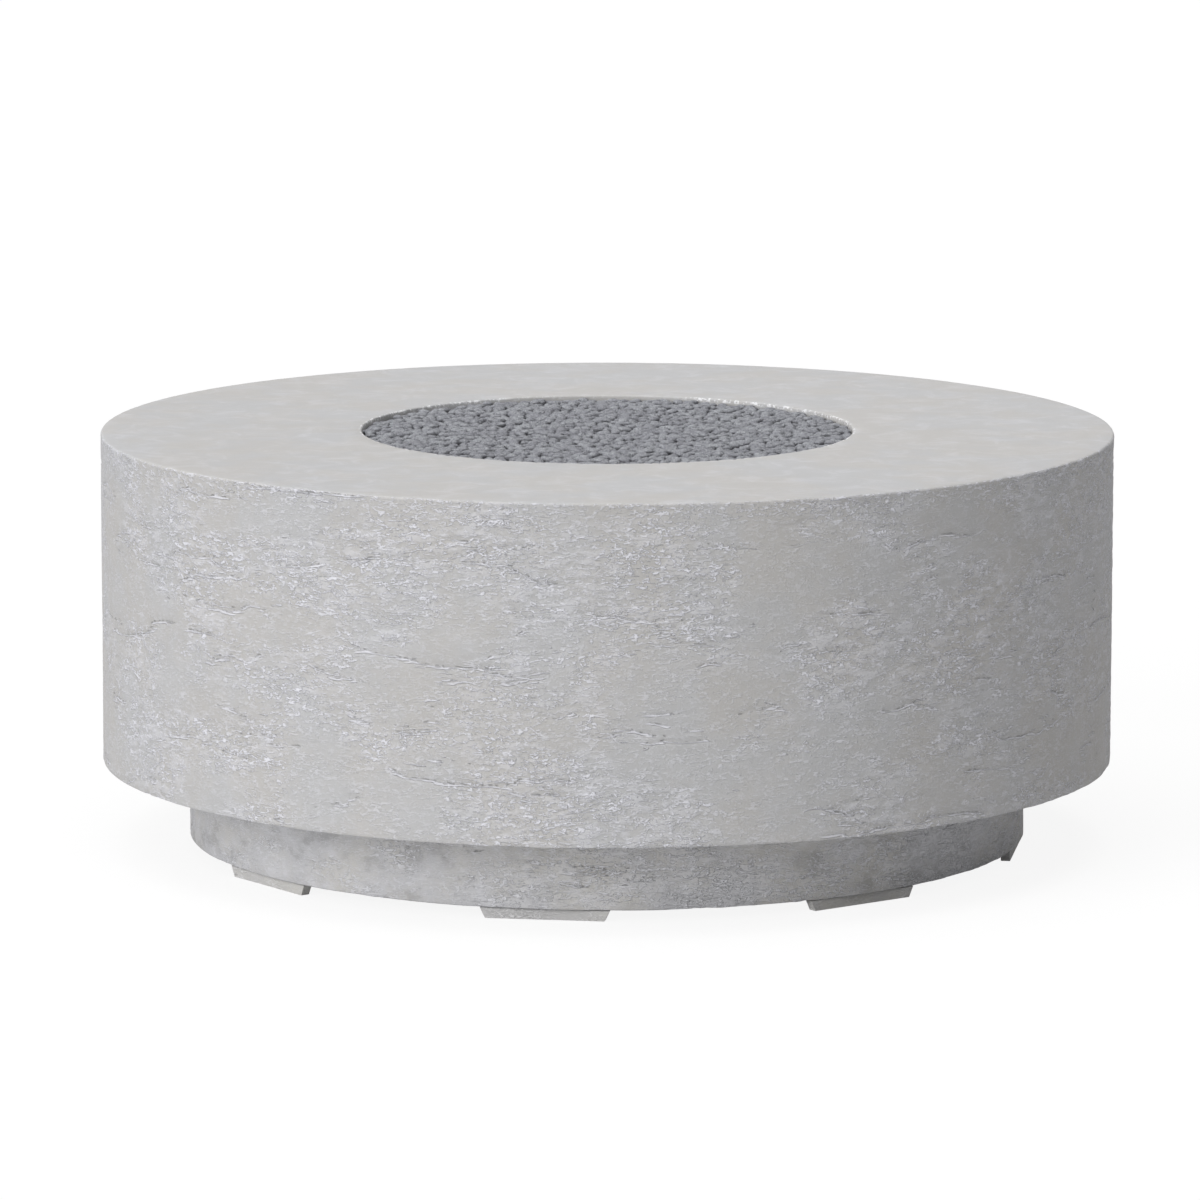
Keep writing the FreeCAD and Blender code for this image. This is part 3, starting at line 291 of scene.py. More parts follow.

# %% [markdown]
# ## Concrete
#
# The mix is a warm grey with a cool, faintly lilac bloom where fine cement came to the face. The
# finish lays broad clouds of the two, smaller blotches, a fine speckle, the paler tops of the flakes,
# and short pale curls that lie level, each with a painted shade on its lower side. The cracks get a
# painted shade and the lip below each a painted highlight. The small relief, below a few millimetres,
# is a bump, because a mesh fine enough for it would be millions of faces. The top was trowelled, so
# there only the clouds and soft trowel marks are left. One function makes the finish of the shell, the
# plinth and the feet, which differ in how torn they are and in colour: the plinth and the feet are
# painted lighter than the shell, to make up for the shade under the drum, and a painted shadow line
# runs along the foot of the plinth.

# %% Colours, and the start and end of any finish
def colour(red, green, blue):
    """A colour given as it looks on a screen, 0 to 255, as the shader wants it."""
    def straight(value):
        value = value / 255.0
        return value / 12.92 if value <= 0.04045 else ((value + 0.055) / 1.055) ** 2.4
    return (straight(red), straight(green), straight(blue), 1.0)


def new_finish(name):
    """A material and its tree, which is still empty."""
    material = bpy.data.materials.new(name)
    material.use_nodes = True
    material.node_tree.nodes.clear()
    return material, Tree(material.node_tree)


def finish_off(tree, inputs):
    """The principled shader with these sockets, joined to the output."""
    shader = tree.node("ShaderNodeBsdfPrincipled", None, inputs)
    tree.node("ShaderNodeOutputMaterial", None, {"Surface": shader})


SHELL_MIX = {
    "warm": colour(195, 193, 191), "cool": colour(194, 194, 195), "pale": colour(236, 236, 243)}
# The plinth and the feet are the same concrete as the shell, painted lighter to make up for the shade
# they stand in under the drum.
PLINTH_MIX_PAINTED_LIGHTER = {
    "warm": colour(218, 216, 213), "cool": colour(213, 213, 216), "pale": colour(246, 246, 251)}
FOOT_MIX_PAINTED_LIGHTER = {
    "warm": colour(223, 221, 217), "cool": colour(218, 217, 217), "pale": colour(251, 250, 251)}
DARK = colour(146, 145, 145)
CRUMB_TONE = colour(246, 246, 248)
# the tone of the painted shadow line along the foot of the plinth
PAINTED_SHADOW_TONE = colour(112, 112, 114)
print("warm grey of the shell, as the shader takes it:", [round(v, 3) for v in SHELL_MIX["warm"]])

# %% Short curls of cement
# How far below a curl the painted shade on its lower side lies.
CURL_SHADE = 0.0011


def curled(tree, place):
    """Short pale curls of cement, a few millimetres long, which lie level."""
    lying = tree.stretched(place, (1.0, 1.0, 2.6))
    long_curl = band(tree, tree.noise(lying, 62.0, 2.0, 0.5, 0.3), 0.5, 0.052)
    long_curl = long_curl * tree.ease(tree.noise(lying, 78.0, 1.0), 0.48, 0.55)
    short_curl = band(tree, tree.noise(lying, 130.0, 2.0, 0.5, 0.3), 0.5, 0.09)
    short_curl = short_curl * tree.ease(tree.noise(lying, 120.0, 1.0), 0.49, 0.56)
    return long_curl.at_least(short_curl)


print("curls: the shaded side lies", CURL_SHADE * 1000, "mm below the pale one")

# %% The cast concrete finish
def concrete(name, mix, skin_depth, bloom, blotches, wall_radius, top_height, seed):
    """Cast concrete. The torn skin lies on the wall, and fades out on the trowelled top.

    The skin depth scales the fine relief, the bloom how pale its marks are, and the blotches how
    strongly light and dark ones show. The seed moves the fine pattern to another place.
    """
    material, tree = new_finish(name)
    place = tree.node("ShaderNodeTexCoord", output="Object")
    shifted = tree.moved(place, (seed, seed, seed))
    rough, _, crack_with_painted_shade, lip_with_painted_highlight, flakes = torn_marks(tree, place)

    # where the wall, its upper edge and the top are, 0 to 1
    height = tree.height_of(place)
    across = tree.from_axis(place)
    below_top = 1.0 - tree.ease(height, top_height - 0.002, top_height - 0.0002)
    on_wall = below_top * tree.ease(across, wall_radius - 0.03, wall_radius - 0.02)
    edge_band = tree.ease(height, top_height - 0.035, top_height - 0.008)
    on_top = tree.ease(height, top_height - 0.003, top_height - 0.001)

    # how torn the skin is, and the small marks in it
    rows = tree.ease(tree.noise(tree.stretched(shifted, (1.0, 1.0, 4.0)), 14.0, 2.0), 0.42, 0.58)
    torn = (0.20 + rows * 0.20 + rough * (0.36 + rows * 0.46) + edge_band * 0.4) * on_wall
    curls = curled(tree, shifted) * torn
    # painted shade: the curls again, taken a little higher, so a darker copy lies under each pale curl
    shade = curled(tree, tree.moved(shifted, (0.0, 0.0, CURL_SHADE))) * torn
    grain = tree.noise(shifted, 420.0, 2.0, 0.6)
    crumbs = tree.ease(tree.noise(shifted, 160.0, 1.0), 0.50, 0.58)

    # the fine relief, in metres
    lift = (curls * 0.0008 + flakes * on_wall * 0.0003 - crack_with_painted_shade * crumbs * on_wall * 0.0010
            + lip_with_painted_highlight * on_wall * 0.0012 + grain * 0.00025 * (0.3 + on_wall))

    # the colours, from broad to fine
    pale = mix["pale"]
    clouds = tree.noise(shifted, 9.0, 5.0, 0.62)
    base = tree.blend(tree.ease(clouds, 0.38, 0.62), mix["warm"], mix["cool"])
    blotch = tree.noise(tree.stretched(shifted, (1.0, 1.0, 1.4)), 21.0, 4.0, 0.6)
    trowel = tree.noise(shifted, 24.0, 5.0, 0.65, 0.8)
    speckle = tree.noise(shifted, 300.0, 2.0, 0.6)
    # painted shadow: a dark line along the foot of the plinth and the tops of the feet, where they meet
    painted_shadow_line = band(tree, height, PLINTH_BASE + 0.0002, 0.0018)
    for share, tone in (
            (tree.ease(blotch, 0.50, 0.66) * on_wall * blotches, pale),
            (tree.ease(blotch, 0.48, 0.34) * on_wall * blotches, DARK),
            (tree.ease(trowel, 0.45, 0.75) * on_top * 0.22, pale),
            (tree.ease(trowel, 0.50, 0.25) * on_top * 0.07, DARK),
            (tree.ease(speckle, 0.50, 0.70) * (0.05 + torn * 0.20), pale),
            (flakes * on_wall * 0.30 * bloom, pale),
            # painted shade on the lower side of each curl
            (shade * 0.10, DARK),
            ((curls * bloom).at_most(1.0), pale),
            # painted highlight on the lower lip of each crack, which is also raised by the bump
            (lip_with_painted_highlight * on_wall * 0.8, pale),
            # painted shade in the cracks
            (crack_with_painted_shade * crumbs * on_wall * 0.45, DARK),
            (crumbled(tree, place, across, height) * 0.9, CRUMB_TONE),
            # painted shadow line where the plinth stands on the feet
            (painted_shadow_line * 0.45, PAINTED_SHADOW_TONE)):
        base = tree.blend(share, base, tone)
    finish_off(tree, {
        "Base Color": base, "Roughness": 0.78 + curls * 0.1, "Normal": tree.bump(lift * skin_depth)})
    return material


# The plinth has no trowelled top in sight, so its top counts as higher than its wall.
PLINTH_FADE = SHELL_BASE + 0.05
shell_concrete = concrete(
    "shell_concrete", SHELL_MIX, skin_depth=1.15, bloom=1.0, blotches=0.06,
    wall_radius=SHELL_RADIUS, top_height=TABLE_TOP, seed=0.0)
plinth_concrete = concrete(
    "plinth_concrete", PLINTH_MIX_PAINTED_LIGHTER, skin_depth=1.2, bloom=1.1, blotches=0.38,
    wall_radius=PLINTH_RADIUS, top_height=PLINTH_FADE, seed=3.7)
foot_concrete = concrete(
    "foot_concrete", FOOT_MIX_PAINTED_LIGHTER, skin_depth=0.6, bloom=0.8, blotches=0.10,
    wall_radius=PLINTH_RADIUS, top_height=SHELL_BASE, seed=7.1)
print("concrete finishes:", [m.name for m in (shell_concrete, plinth_concrete, foot_concrete)])

# %% [markdown]
# ## Turning the casting
#
# A drum is one outline turned round an axis. The outline is written as a list of corners, each side is
# divided into short steps so that the skin can be moved later, and the outline is turned in Python.
# A Screw modifier would do the same, but the list lets the face be fine and the hidden inside coarse.

# %% Turn an outline into a closed ring
def stepped(corners):
    """Points along a closed outline. A corner is (radius, height, step of the side that follows)."""
    points = []
    for number, (radius, height, step) in enumerate(corners):
        next_radius, next_height, _ = corners[(number + 1) % len(corners)]
        run = math.hypot(next_radius - radius, next_height - height)
        parts = max(1, round(run / step))
        points += [(radius + (next_radius - radius) * k / parts,
                    height + (next_height - height) * k / parts) for k in range(parts)]
    return points


def quarter(centre_radius, centre_height, size, start, count=4):
    """Corners along a quarter of a circle, from the start angle in degrees, anticlockwise."""
    angles = [math.radians(start + 90.0 * k / count) for k in range(count + 1)]
    return [(centre_radius + size * math.cos(a), centre_height + size * math.sin(a), size)
            for a in angles]


def add_object(name, data):
    """A new object in the scene, which shows this mesh, lamp or camera."""
    made = bpy.data.objects.new(name, data)
    bpy.context.scene.collection.objects.link(made)
    return made


def turned(name, corners, sectors):
    """A ring with this section. The section runs anticlockwise, so the faces point outwards."""
    points = stepped(corners)
    angles = [2 * math.pi * k / sectors for k in range(sectors)]
    verts = [(r * math.cos(a), r * math.sin(a), z) for r, z in points for a in angles]
    faces = []
    for row in range(len(points)):
        low, high = row * sectors, (row + 1) % len(points) * sectors
        faces += [(low + k, low + (k + 1) % sectors, high + (k + 1) % sectors, high + k)
                  for k in range(sectors)]
    mesh = bpy.data.meshes.new(name)
    mesh.from_pydata(verts, [], faces)
    return add_object(name, mesh)


print("corners on a quarter round:", len(quarter(0.0, 0.0, 1.0, 0.0)))

# %% The outlines of the shell and the plinth
# The steps along an outline: on the torn walls, in the opening, on the trowelled top, out of sight.
FINE, PLINTH_FINE, OPENING_STEP, MEDIUM, COARSE = 0.003, 0.004, 0.006, 0.018, 0.08
SECTORS = 540


def with_step(corners, step):
    """The same corners, with this step after the last of them."""
    return corners[:-1] + [(corners[-1][0], corners[-1][1], step)]


shell_outline = (
    with_step(quarter(SHELL_RADIUS - ARRIS, SHELL_BASE + ARRIS, ARRIS, -90, 2), FINE)
    + with_step(quarter(SHELL_RADIUS - TOP_EDGE, TABLE_TOP - TOP_EDGE, TOP_EDGE, 0, 5), MEDIUM)
    + with_step(quarter(OPENING_RADIUS + OPENING_EDGE, TABLE_TOP - OPENING_EDGE, OPENING_EDGE, 90),
                OPENING_STEP)
    + [(OPENING_RADIUS, TABLE_TOP - LEDGE_DROP, COARSE),
       (OPENING_RADIUS - LEDGE_WIDTH, TABLE_TOP - LEDGE_DROP, COARSE),
       (OPENING_RADIUS - LEDGE_WIDTH, TABLE_TOP - LEDGE_DROP - LEDGE_THICKNESS, COARSE),
       (OPENING_RADIUS + LEDGE_ROOT, TABLE_TOP - LEDGE_DROP - LEDGE_THICKNESS, COARSE),
       (OPENING_RADIUS + LEDGE_ROOT, TABLE_TOP - TOP_THICKNESS, COARSE),
       (SHELL_RADIUS - SHELL_WALL, TABLE_TOP - TOP_THICKNESS, COARSE),
       (SHELL_RADIUS - SHELL_WALL, SHELL_BASE + RETURN_THICKNESS, COARSE),
       (RETURN_RADIUS, SHELL_BASE + RETURN_THICKNESS, COARSE),
       (RETURN_RADIUS, SHELL_BASE, COARSE)])
table_shell = turned("cast_shell", shell_outline, SECTORS)
print("shell:", len(table_shell.data.polygons) * 2, "triangles")

plinth_outline = (
    with_step(quarter(PLINTH_RADIUS - ARRIS, PLINTH_BASE + ARRIS, ARRIS, -90, 2), PLINTH_FINE)
    + [(PLINTH_RADIUS, SHELL_BASE, COARSE),
       (FLANGE_RADIUS, SHELL_BASE, COARSE),
       (FLANGE_RADIUS, SHELL_BASE - FLANGE_THICKNESS, COARSE),
       (PLINTH_RADIUS - PLINTH_WALL, SHELL_BASE - FLANGE_THICKNESS, COARSE),
       (PLINTH_RADIUS - PLINTH_WALL, PLINTH_BASE, COARSE)])
base_plinth = turned("cast_plinth", plinth_outline, SECTORS)
print("plinth:", len(base_plinth.data.polygons) * 2, "triangles")

# %% [markdown]
# ## Tearing the skin of the mesh
#
# The larger marks are real hollows. A Geometry Nodes tree moves each point of the face inwards along
# its normal, by the same marks that the finish reads, so the outline of the drum is never larger than
# the packed piece. The castings also wave a little, as a mould does. Sculpting would look as good
# once, but a tree does the plinth and the shell alike.

# %% The start and end of any shape tree
def shape_tree(name, inputs):
    """An empty shape tree with a geometry in and out, and inputs with these labels and kinds."""
    tree = bpy.data.node_groups.new(name, "GeometryNodeTree")
    tree.interface.new_socket("Geometry", in_out="INPUT", socket_type="NodeSocketGeometry")
    for label, kind in inputs:
        tree.interface.new_socket(label, in_out="INPUT", socket_type="NodeSocket" + kind)
    tree.interface.new_socket("Geometry", in_out="OUTPUT", socket_type="NodeSocketGeometry")
    entry = tree.nodes.new("NodeGroupInput")
    given = {socket.name: Amount(tree, socket) for socket in entry.outputs if socket.name}
    return Tree(tree), given


def close_tree(tree, geometry, material):
    """Ends a shape tree in real faces with a material."""
    real = tree.node("GeometryNodeRealizeInstances", None, {"Geometry": geometry})
    coated = tree.node("GeometryNodeSetMaterial", None, {"Geometry": real, "Material": material})
    tree.node("NodeGroupOutput", None, {0: coated})


print("shape tree helpers ready")

# %% A shape tree that presses the marks into a casting
def torn_skin():
    """Presses waves and torn marks into a wall, waves into a top, and crumbs out of the opening."""
    tree, given = shape_tree("torn_skin", [
        ("Wall radius", "Float"), ("Top height", "Float"), ("Mark depth", "Float"),
        ("Wave depth", "Float"), ("Finish", "Material")])
    place = tree.node("GeometryNodeInputPosition")
    normal = tree.node("GeometryNodeInputNormal")
    rough, hollow, _, _, flakes = torn_marks(tree, place)
    height = tree.height_of(place)
    across = tree.from_axis(place)
    on_wall = tree.ease(across, given["Wall radius"] - 0.006, given["Wall radius"] - 0.0025)
    on_wall = on_wall * (1.0 - tree.ease(height, given["Top height"] - 0.006, given["Top height"]))
    on_top = tree.ease(height, given["Top height"] - 0.004, given["Top height"] - 0.001)
    waves = tree.noise(tree.stretched(place, (1.0, 1.0, 1.8)), 7.0, 3.0, 0.5)
    marks = (1.0 - flakes) * rough * 0.6 + hollow * 0.8
    depth = ((marks * given["Mark depth"] + waves * given["Wave depth"]) * on_wall
             + waves * given["Wave depth"] * on_top * 0.5
             + crumbled(tree, place, across, height) * given["Mark depth"] * 0.6)
    pressed = tree.node("GeometryNodeSetPosition", None, {
        "Geometry": given["Geometry"], "Offset": tree.scaled(normal, depth * -1.0)})
    close_tree(tree, pressed, given["Finish"])
    return tree.tree


skin_tree = torn_skin()
print("torn skin:", len(skin_tree.nodes), "nodes")

# %% Press the skin of both castings
def keep_shape(piece, modifier):
    """Takes what a modifier makes of a piece as its plain mesh, and removes the modifier."""
    bpy.context.view_layer.update()
    shown = piece.evaluated_get(bpy.context.evaluated_depsgraph_get())
    plain = bpy.data.meshes.new_from_object(shown)
    piece.modifiers.remove(modifier)
    piece.data = plain
    plain.name = piece.name


def apply_shape(piece, group, values):
    """Runs a shape tree on a piece, with these values for its named inputs."""
    modifier = piece.modifiers.new(group.name, "NODES")
    modifier.node_group = group
    ways = {item.name: item.identifier for item in group.interface.items_tree
            if item.item_type == "SOCKET" and item.in_out == "INPUT"}
    for label, value in values.items():
        modifier[ways[label]] = value
    keep_shape(piece, modifier)
    piece.data.materials.clear()
    piece.data.materials.append(values["Finish"])
    piece.data.polygons.foreach_set("material_index", [0] * len(piece.data.polygons))


apply_shape(table_shell, skin_tree, {
    "Wall radius": SHELL_RADIUS, "Top height": TABLE_TOP, "Mark depth": 0.0010,
    "Wave depth": 0.0012, "Finish": shell_concrete})
apply_shape(base_plinth, skin_tree, {
    "Wall radius": PLINTH_RADIUS, "Top height": PLINTH_FADE, "Mark depth": 0.0009,
    "Wave depth": 0.0010, "Finish": plinth_concrete})
wall_points = [math.hypot(v.co.x, v.co.y) for v in table_shell.data.vertices
               if SHELL_BASE + 0.01 < v.co.z < TABLE_TOP - 0.01]
print("the outermost point of the torn wall is", round(SHELL_RADIUS - max(wall_points), 5), "in")

# %% [markdown]
# ## The seat of the valve flange
#
# At the back a round steel flange lies flat on the plinth, whose wall is curved and torn, so the
# mould has a flat seat for it. A Boolean with a short round bar cuts it out of the finished wall.
# Pressing it in with the shape tree would need very fine faces for a clean round edge.

# %% The flat seat, cut into the back of the plinth
SEAT_DEPTH = 0.0013
SEAT_MARGIN = 0.001
SEAT_SIDES = 96
BAR_LENGTH = 0.02


def cut_seat(piece, around):
    """Cuts a round flat seat into a piece, a little wider than what it carries."""
    low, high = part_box(around)
    radius = (high[0] - low[0]) / 2 + SEAT_MARGIN
    middle = Vector((0.0, PLINTH_RADIUS - SEAT_DEPTH + BAR_LENGTH / 2, (low[2] + high[2]) / 2))
    shape = bmesh.new()
    bmesh.ops.create_cone(
        shape, cap_ends=True, segments=SEAT_SIDES, radius1=radius, radius2=radius, depth=BAR_LENGTH,
        matrix=Matrix.Translation(middle) @ Matrix.Rotation(math.pi / 2, 4, "X"))
    mesh = bpy.data.meshes.new("seat_cutter")
    shape.to_mesh(mesh)
    shape.free()
    cutter = add_object("seat_cutter", mesh)
    cut = piece.modifiers.new("seat", "BOOLEAN")
    cut.operation = "DIFFERENCE"
    cut.object = cutter
    keep_shape(piece, cut)
    bpy.data.objects.remove(cutter)


cut_seat(base_plinth, "valve_flange")
print("plinth with its seat:", len(base_plinth.data.vertices), "points")

# %% Both castings take the places of the packed ones
CREASE = 35.0


def smooth(piece):
    """Smooth shading that stays crisp at the real edges, where faces meet at more than the crease."""
    piece.data.polygons.foreach_set("use_smooth", [True] * len(piece.data.polygons))
    piece.data.set_sharp_from_angle(angle=math.radians(CREASE))


for piece, node in ((table_shell, "table_shell"), (base_plinth, "base_plinth")):
    smooth(piece)
    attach(piece, "table")
    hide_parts(node)
    print(piece.name, "replaces", node, "with", len(piece.data.vertices), "points")

# %% [markdown]
# ## Lava rock
#
# Lava rock for fire tables is tumbled, so its pieces are small rounded lumps that lie close, most of
# them on a flat side. A physics drop would settle them well but takes minutes and changes from one
# run to the next. A spiral that puts each lump one golden angle after the last one packs a disc
# evenly, and a random push, turn and size then hide the spiral. Little light gets down between the
# lumps, so the finish is darker low in the heap and at the foot of each lump. How high a point is on
# its own lump is stored on it before the lumps are spread, because the heap can't tell it afterwards.

# %% The finish of the rock
# The radius of a middling lump, and how many such radii the heap may reach above its level.
STONE = 0.0078
PRESS = 2.2
ROCK_LEVEL = stones_high[2] - STONE * 1.02


def rock_finish(level):
    """Grey porous rock, darker in the gaps: below this height little light gets in."""
    material, tree = new_finish("porous_rock")
    place = tree.node("ShaderNodeTexCoord", output="Object")
    height = tree.height_of(place)
    tone = tree.ease(tree.noise(place, 55.0, 2.0, 0.5), 0.35, 0.68)
    base = tree.blend(tone, colour(150, 151, 157), colour(173, 175, 180))
    grit = tree.noise(place, 480.0, 3.0, 0.65)
    base = tree.blend(tree.ease(grit, 0.42, 0.58) * 0.55, base, colour(110, 111, 117))
    gap = 1.0 - tree.ease(height, level - 0.003, level + 0.004)
    base = tree.blend(gap * 0.8, base, colour(48, 48, 52))
    rise = tree.node("ShaderNodeAttribute", {"attribute_name": "rise"}, output="Fac")
    base = tree.blend(tree.ease(rise, 0.55, -0.10) * 0.60, base, colour(62, 62, 66))
    pores = tree.node("ShaderNodeTexVoronoi", None, {"Vector": place, "Scale": 420.0}, "Distance")
    pore = 1.0 - tree.ease(pores, 0.15, 0.42)
    pore = pore * tree.ease(tree.noise(place, 90.0, 2.0), 0.45, 0.60)
    base = tree.blend(pore * 0.6, base, colour(74, 74, 80))
    finish_off(tree, {
        "Base Color": base, "Roughness": 0.9 - pore * 0.1,
        "Normal": tree.bump(grit * 0.0010 - pore * 0.0009)})
    return material


lava_rock = rock_finish(ROCK_LEVEL)
print("rock finish: darkest below", round(ROCK_LEVEL - 0.003, 4))

# %% A shape tree that heaps the rock
GOLDEN_ANGLE = math.pi * (3 - math.sqrt(5))


def rock_heap():
    """Spreads lumps on a spiral, swells them, presses the heap flat and keeps it inside the wall."""
    tree, given = shape_tree("rock_heap", [
        ("Stones", "Int"), ("Reach", "Float"), ("Wall", "Float"), ("Stone size", "Float"),
        ("Level", "Float"), ("Seed", "Int"), ("Finish", "Material")])
    index = tree.node("GeometryNodeInputIndex")

    def chance(low, high, turn):
        return tree.node("FunctionNodeRandomValue", {"data_type": "FLOAT"}, {
            "Min": low, "Max": high, "ID": index, "Seed": given["Seed"] + turn})

    # where each lump lies
    size = given["Stone size"]
    out = ((index + 0.5) / given["Stones"]).root() * given["Reach"]
    out = (out + chance(-0.45, 0.45, 1) * size).at_most(given["Reach"])
    angle = index * GOLDEN_ANGLE + chance(-0.5, 0.5, 2) * size / (out + 0.01)
    lift = given["Level"] + chance(-0.60, 0.40, 3) * size
    spot = tree.node("ShaderNodeCombineXYZ", None, {
        "X": out * angle.cosine(), "Y": out * angle.sine(), "Z": lift})
    spots = tree.node("GeometryNodePoints", None, {"Count": given["Stones"], "Position": spot})

    # one lump, and how each copy of it is turned and stretched
    lump = tree.node("GeometryNodeMeshIcoSphere", None, {"Radius": 1.0, "Subdivisions": 2}, "Mesh")
    place = tree.node("GeometryNodeInputPosition")
    lump = tree.marked(lump, "rise", tree.height_of(place))
    turn = tree.node("ShaderNodeCombineXYZ", None, {
        "X": chance(-0.5, 0.5, 4), "Y": chance(-0.5, 0.5, 5), "Z": chance(0.0, 6.28, 6)})
    girth = tree.node("ShaderNodeCombineXYZ", None, {
        "X": size * chance(0.80, 1.20, 7), "Y": size * chance(0.66, 0.95, 8),
        "Z": size * chance(0.80, 1.10, 9)})
    heap = tree.node("GeometryNodeInstanceOnPoints", None, {
        "Points": spots, "Instance": lump, "Rotation": turn, "Scale": girth})
    real = tree.node("GeometryNodeRealizeInstances", None, {"Geometry": heap})
    normal = tree.node("GeometryNodeInputNormal")
    swell = tree.noise(place, 95.0, 2.0, 0.6) - 0.5
    swollen = tree.node("GeometryNodeSetPosition", None, {
        "Geometry": real, "Offset": tree.scaled(normal, swell * size * 0.75)})

    # press down what stands high, and push back what would pass the wall
    above = (tree.height_of(place) - given["Level"]).at_least(0.0)
    press = above / (above / (size * PRESS) + 1.0) - above
    flat = tree.stretched(place, (1.0, 1.0, 0.0))
    across = tree.length_of(flat)
    back = (given["Wall"] / across).at_most(1.0) - 1.0
    pushed = tree.moved(tree.scaled(flat, back), tree.node("ShaderNodeCombineXYZ", None, {"Z": press}))
    moved = tree.node("GeometryNodeSetPosition", None, {"Geometry": swollen, "Offset": pushed})
    rounded = tree.node("GeometryNodeSetShadeSmooth", None, {"Geometry": moved})
    close_tree(tree, rounded, given["Finish"])
    return tree.tree


heap_tree = rock_heap()
print("rock heap:", len(heap_tree.nodes), "nodes")

# %% Heap the rock in the opening
WALL_GAP = 0.0006


def new_piece(name):
    """An object with an empty mesh, for a shape tree that makes everything itself."""
    return add_object(name, bpy.data.meshes.new(name))


rock_top = new_piece("lava_rock_top")
apply_shape(rock_top, heap_tree, {
    "Stones": 2450, "Reach": OPENING_RADIUS - STONE * 0.6, "Wall": OPENING_RADIUS - WALL_GAP,
    "Stone size": STONE, "Level": ROCK_LEVEL, "Seed": 5, "Finish": lava_rock})
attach(rock_top, "table")
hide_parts("lava_rock_stones")
rock_peak = max(v.co.z for v in rock_top.data.vertices)
print("rock:", len(rock_top.data.polygons), "faces, top at", round(rock_peak, 4))

# %% [markdown]
# ## Metals
#
# What lies inside is stainless sheet and tube, zinc-plated fixings and brass fittings. The flange at
# the back has a satin face, and the key is worn where hands hold it. A metal shows its finish by how
# its shine breaks up, so each of them has a noise in its roughness, stretched where it was brushed,
# and broad stains in its colour. One function makes them all, because only the numbers differ.

# %% Metal finishes
def metal(name, tint, shade, stretch, scale, low, high, scratches):
    """A metal whose roughness runs between two values along a stretched noise."""
    material, tree = new_finish(name)
    place = tree.node("ShaderNodeTexCoord", output="Object")
    grain = tree.noise(tree.stretched(place, stretch), scale, 4.0, 0.6)
    stain = tree.ease(tree.noise(place, 14.0, 4.0, 0.6), 0.35, 0.75)
    base = tree.blend(stain, tint, shade)
    roughness = low + tree.ease(grain, 0.3, 0.7) * (high - low) + stain * 0.06
    finish_off(tree, {
        "Base Color": base, "Metallic": 1.0, "Roughness": roughness,
        "Normal": tree.bump(grain * scratches)})
    return material


brushed_steel = metal("brushed_sheet", colour(200, 201, 203), colour(178, 179, 182),
                      (1.0, 1.0, 14.0), 60.0, 0.22, 0.42, 0.00003)
zinc = metal("zinc_coat", colour(190, 194, 198), colour(160, 163, 166),
             (1.0, 1.0, 1.0), 130.0, 0.30, 0.50, 0.00004)
brass = metal("turned_brass", colour(214, 182, 112), colour(188, 152, 86),
              (1.0, 1.0, 1.0), 220.0, 0.24, 0.40, 0.00002)
satin = metal("satin_steel", colour(166, 167, 170), colour(138, 139, 143),
              (1.0, 1.0, 6.0), 150.0, 0.24, 0.40, 0.00003)
worn = metal("worn_key_steel", colour(186, 187, 190), colour(112, 112, 116),
             (1.0, 1.0, 1.0), 210.0, 0.18, 0.42, 0.00004)
print("metals:", [m.name for m in (brushed_steel, zinc, brass, satin, worn)])

# %% [markdown]
# ## The braided hose
#
# The packed hose is a plain tube. The real one has a woven cover: strands that wind both ways round it
# and leave a net of small diamonds. The sheet of the cover is swept along the same path, level from
# the valve, round one wide bend and straight up, and the weave is pressed into it. The product of two
# waves that wind against each other is high on the diamonds and low between them.

# %% The woven cover
def woven_cover():
    """The grey weave of the hose, darker in the holes of the net, which the mesh brings along."""
    material, tree = new_finish("woven_cover")
    place = tree.node("ShaderNodeTexCoord", output="Object")
    weave = tree.node("ShaderNodeAttribute", {"attribute_name": "weave"}, output="Fac")
    dust = tree.ease(tree.noise(place, 30.0, 4.0, 0.6), 0.45, 0.75)
    base = tree.blend(dust * 0.5, colour(134, 134, 137), colour(164, 163, 161))
    base = tree.blend(tree.ease(weave, 0.55, 0.15), base, colour(52, 52, 55))
    grain = tree.noise(place, 900.0, 2.0)
    finish_off(tree, {
        "Base Color": base, "Roughness": 0.50 + dust * 0.25, "Normal": tree.bump(grain * 0.0001)})
    return material


hose_cover = woven_cover()
print("finishes:", len(bpy.data.materials))

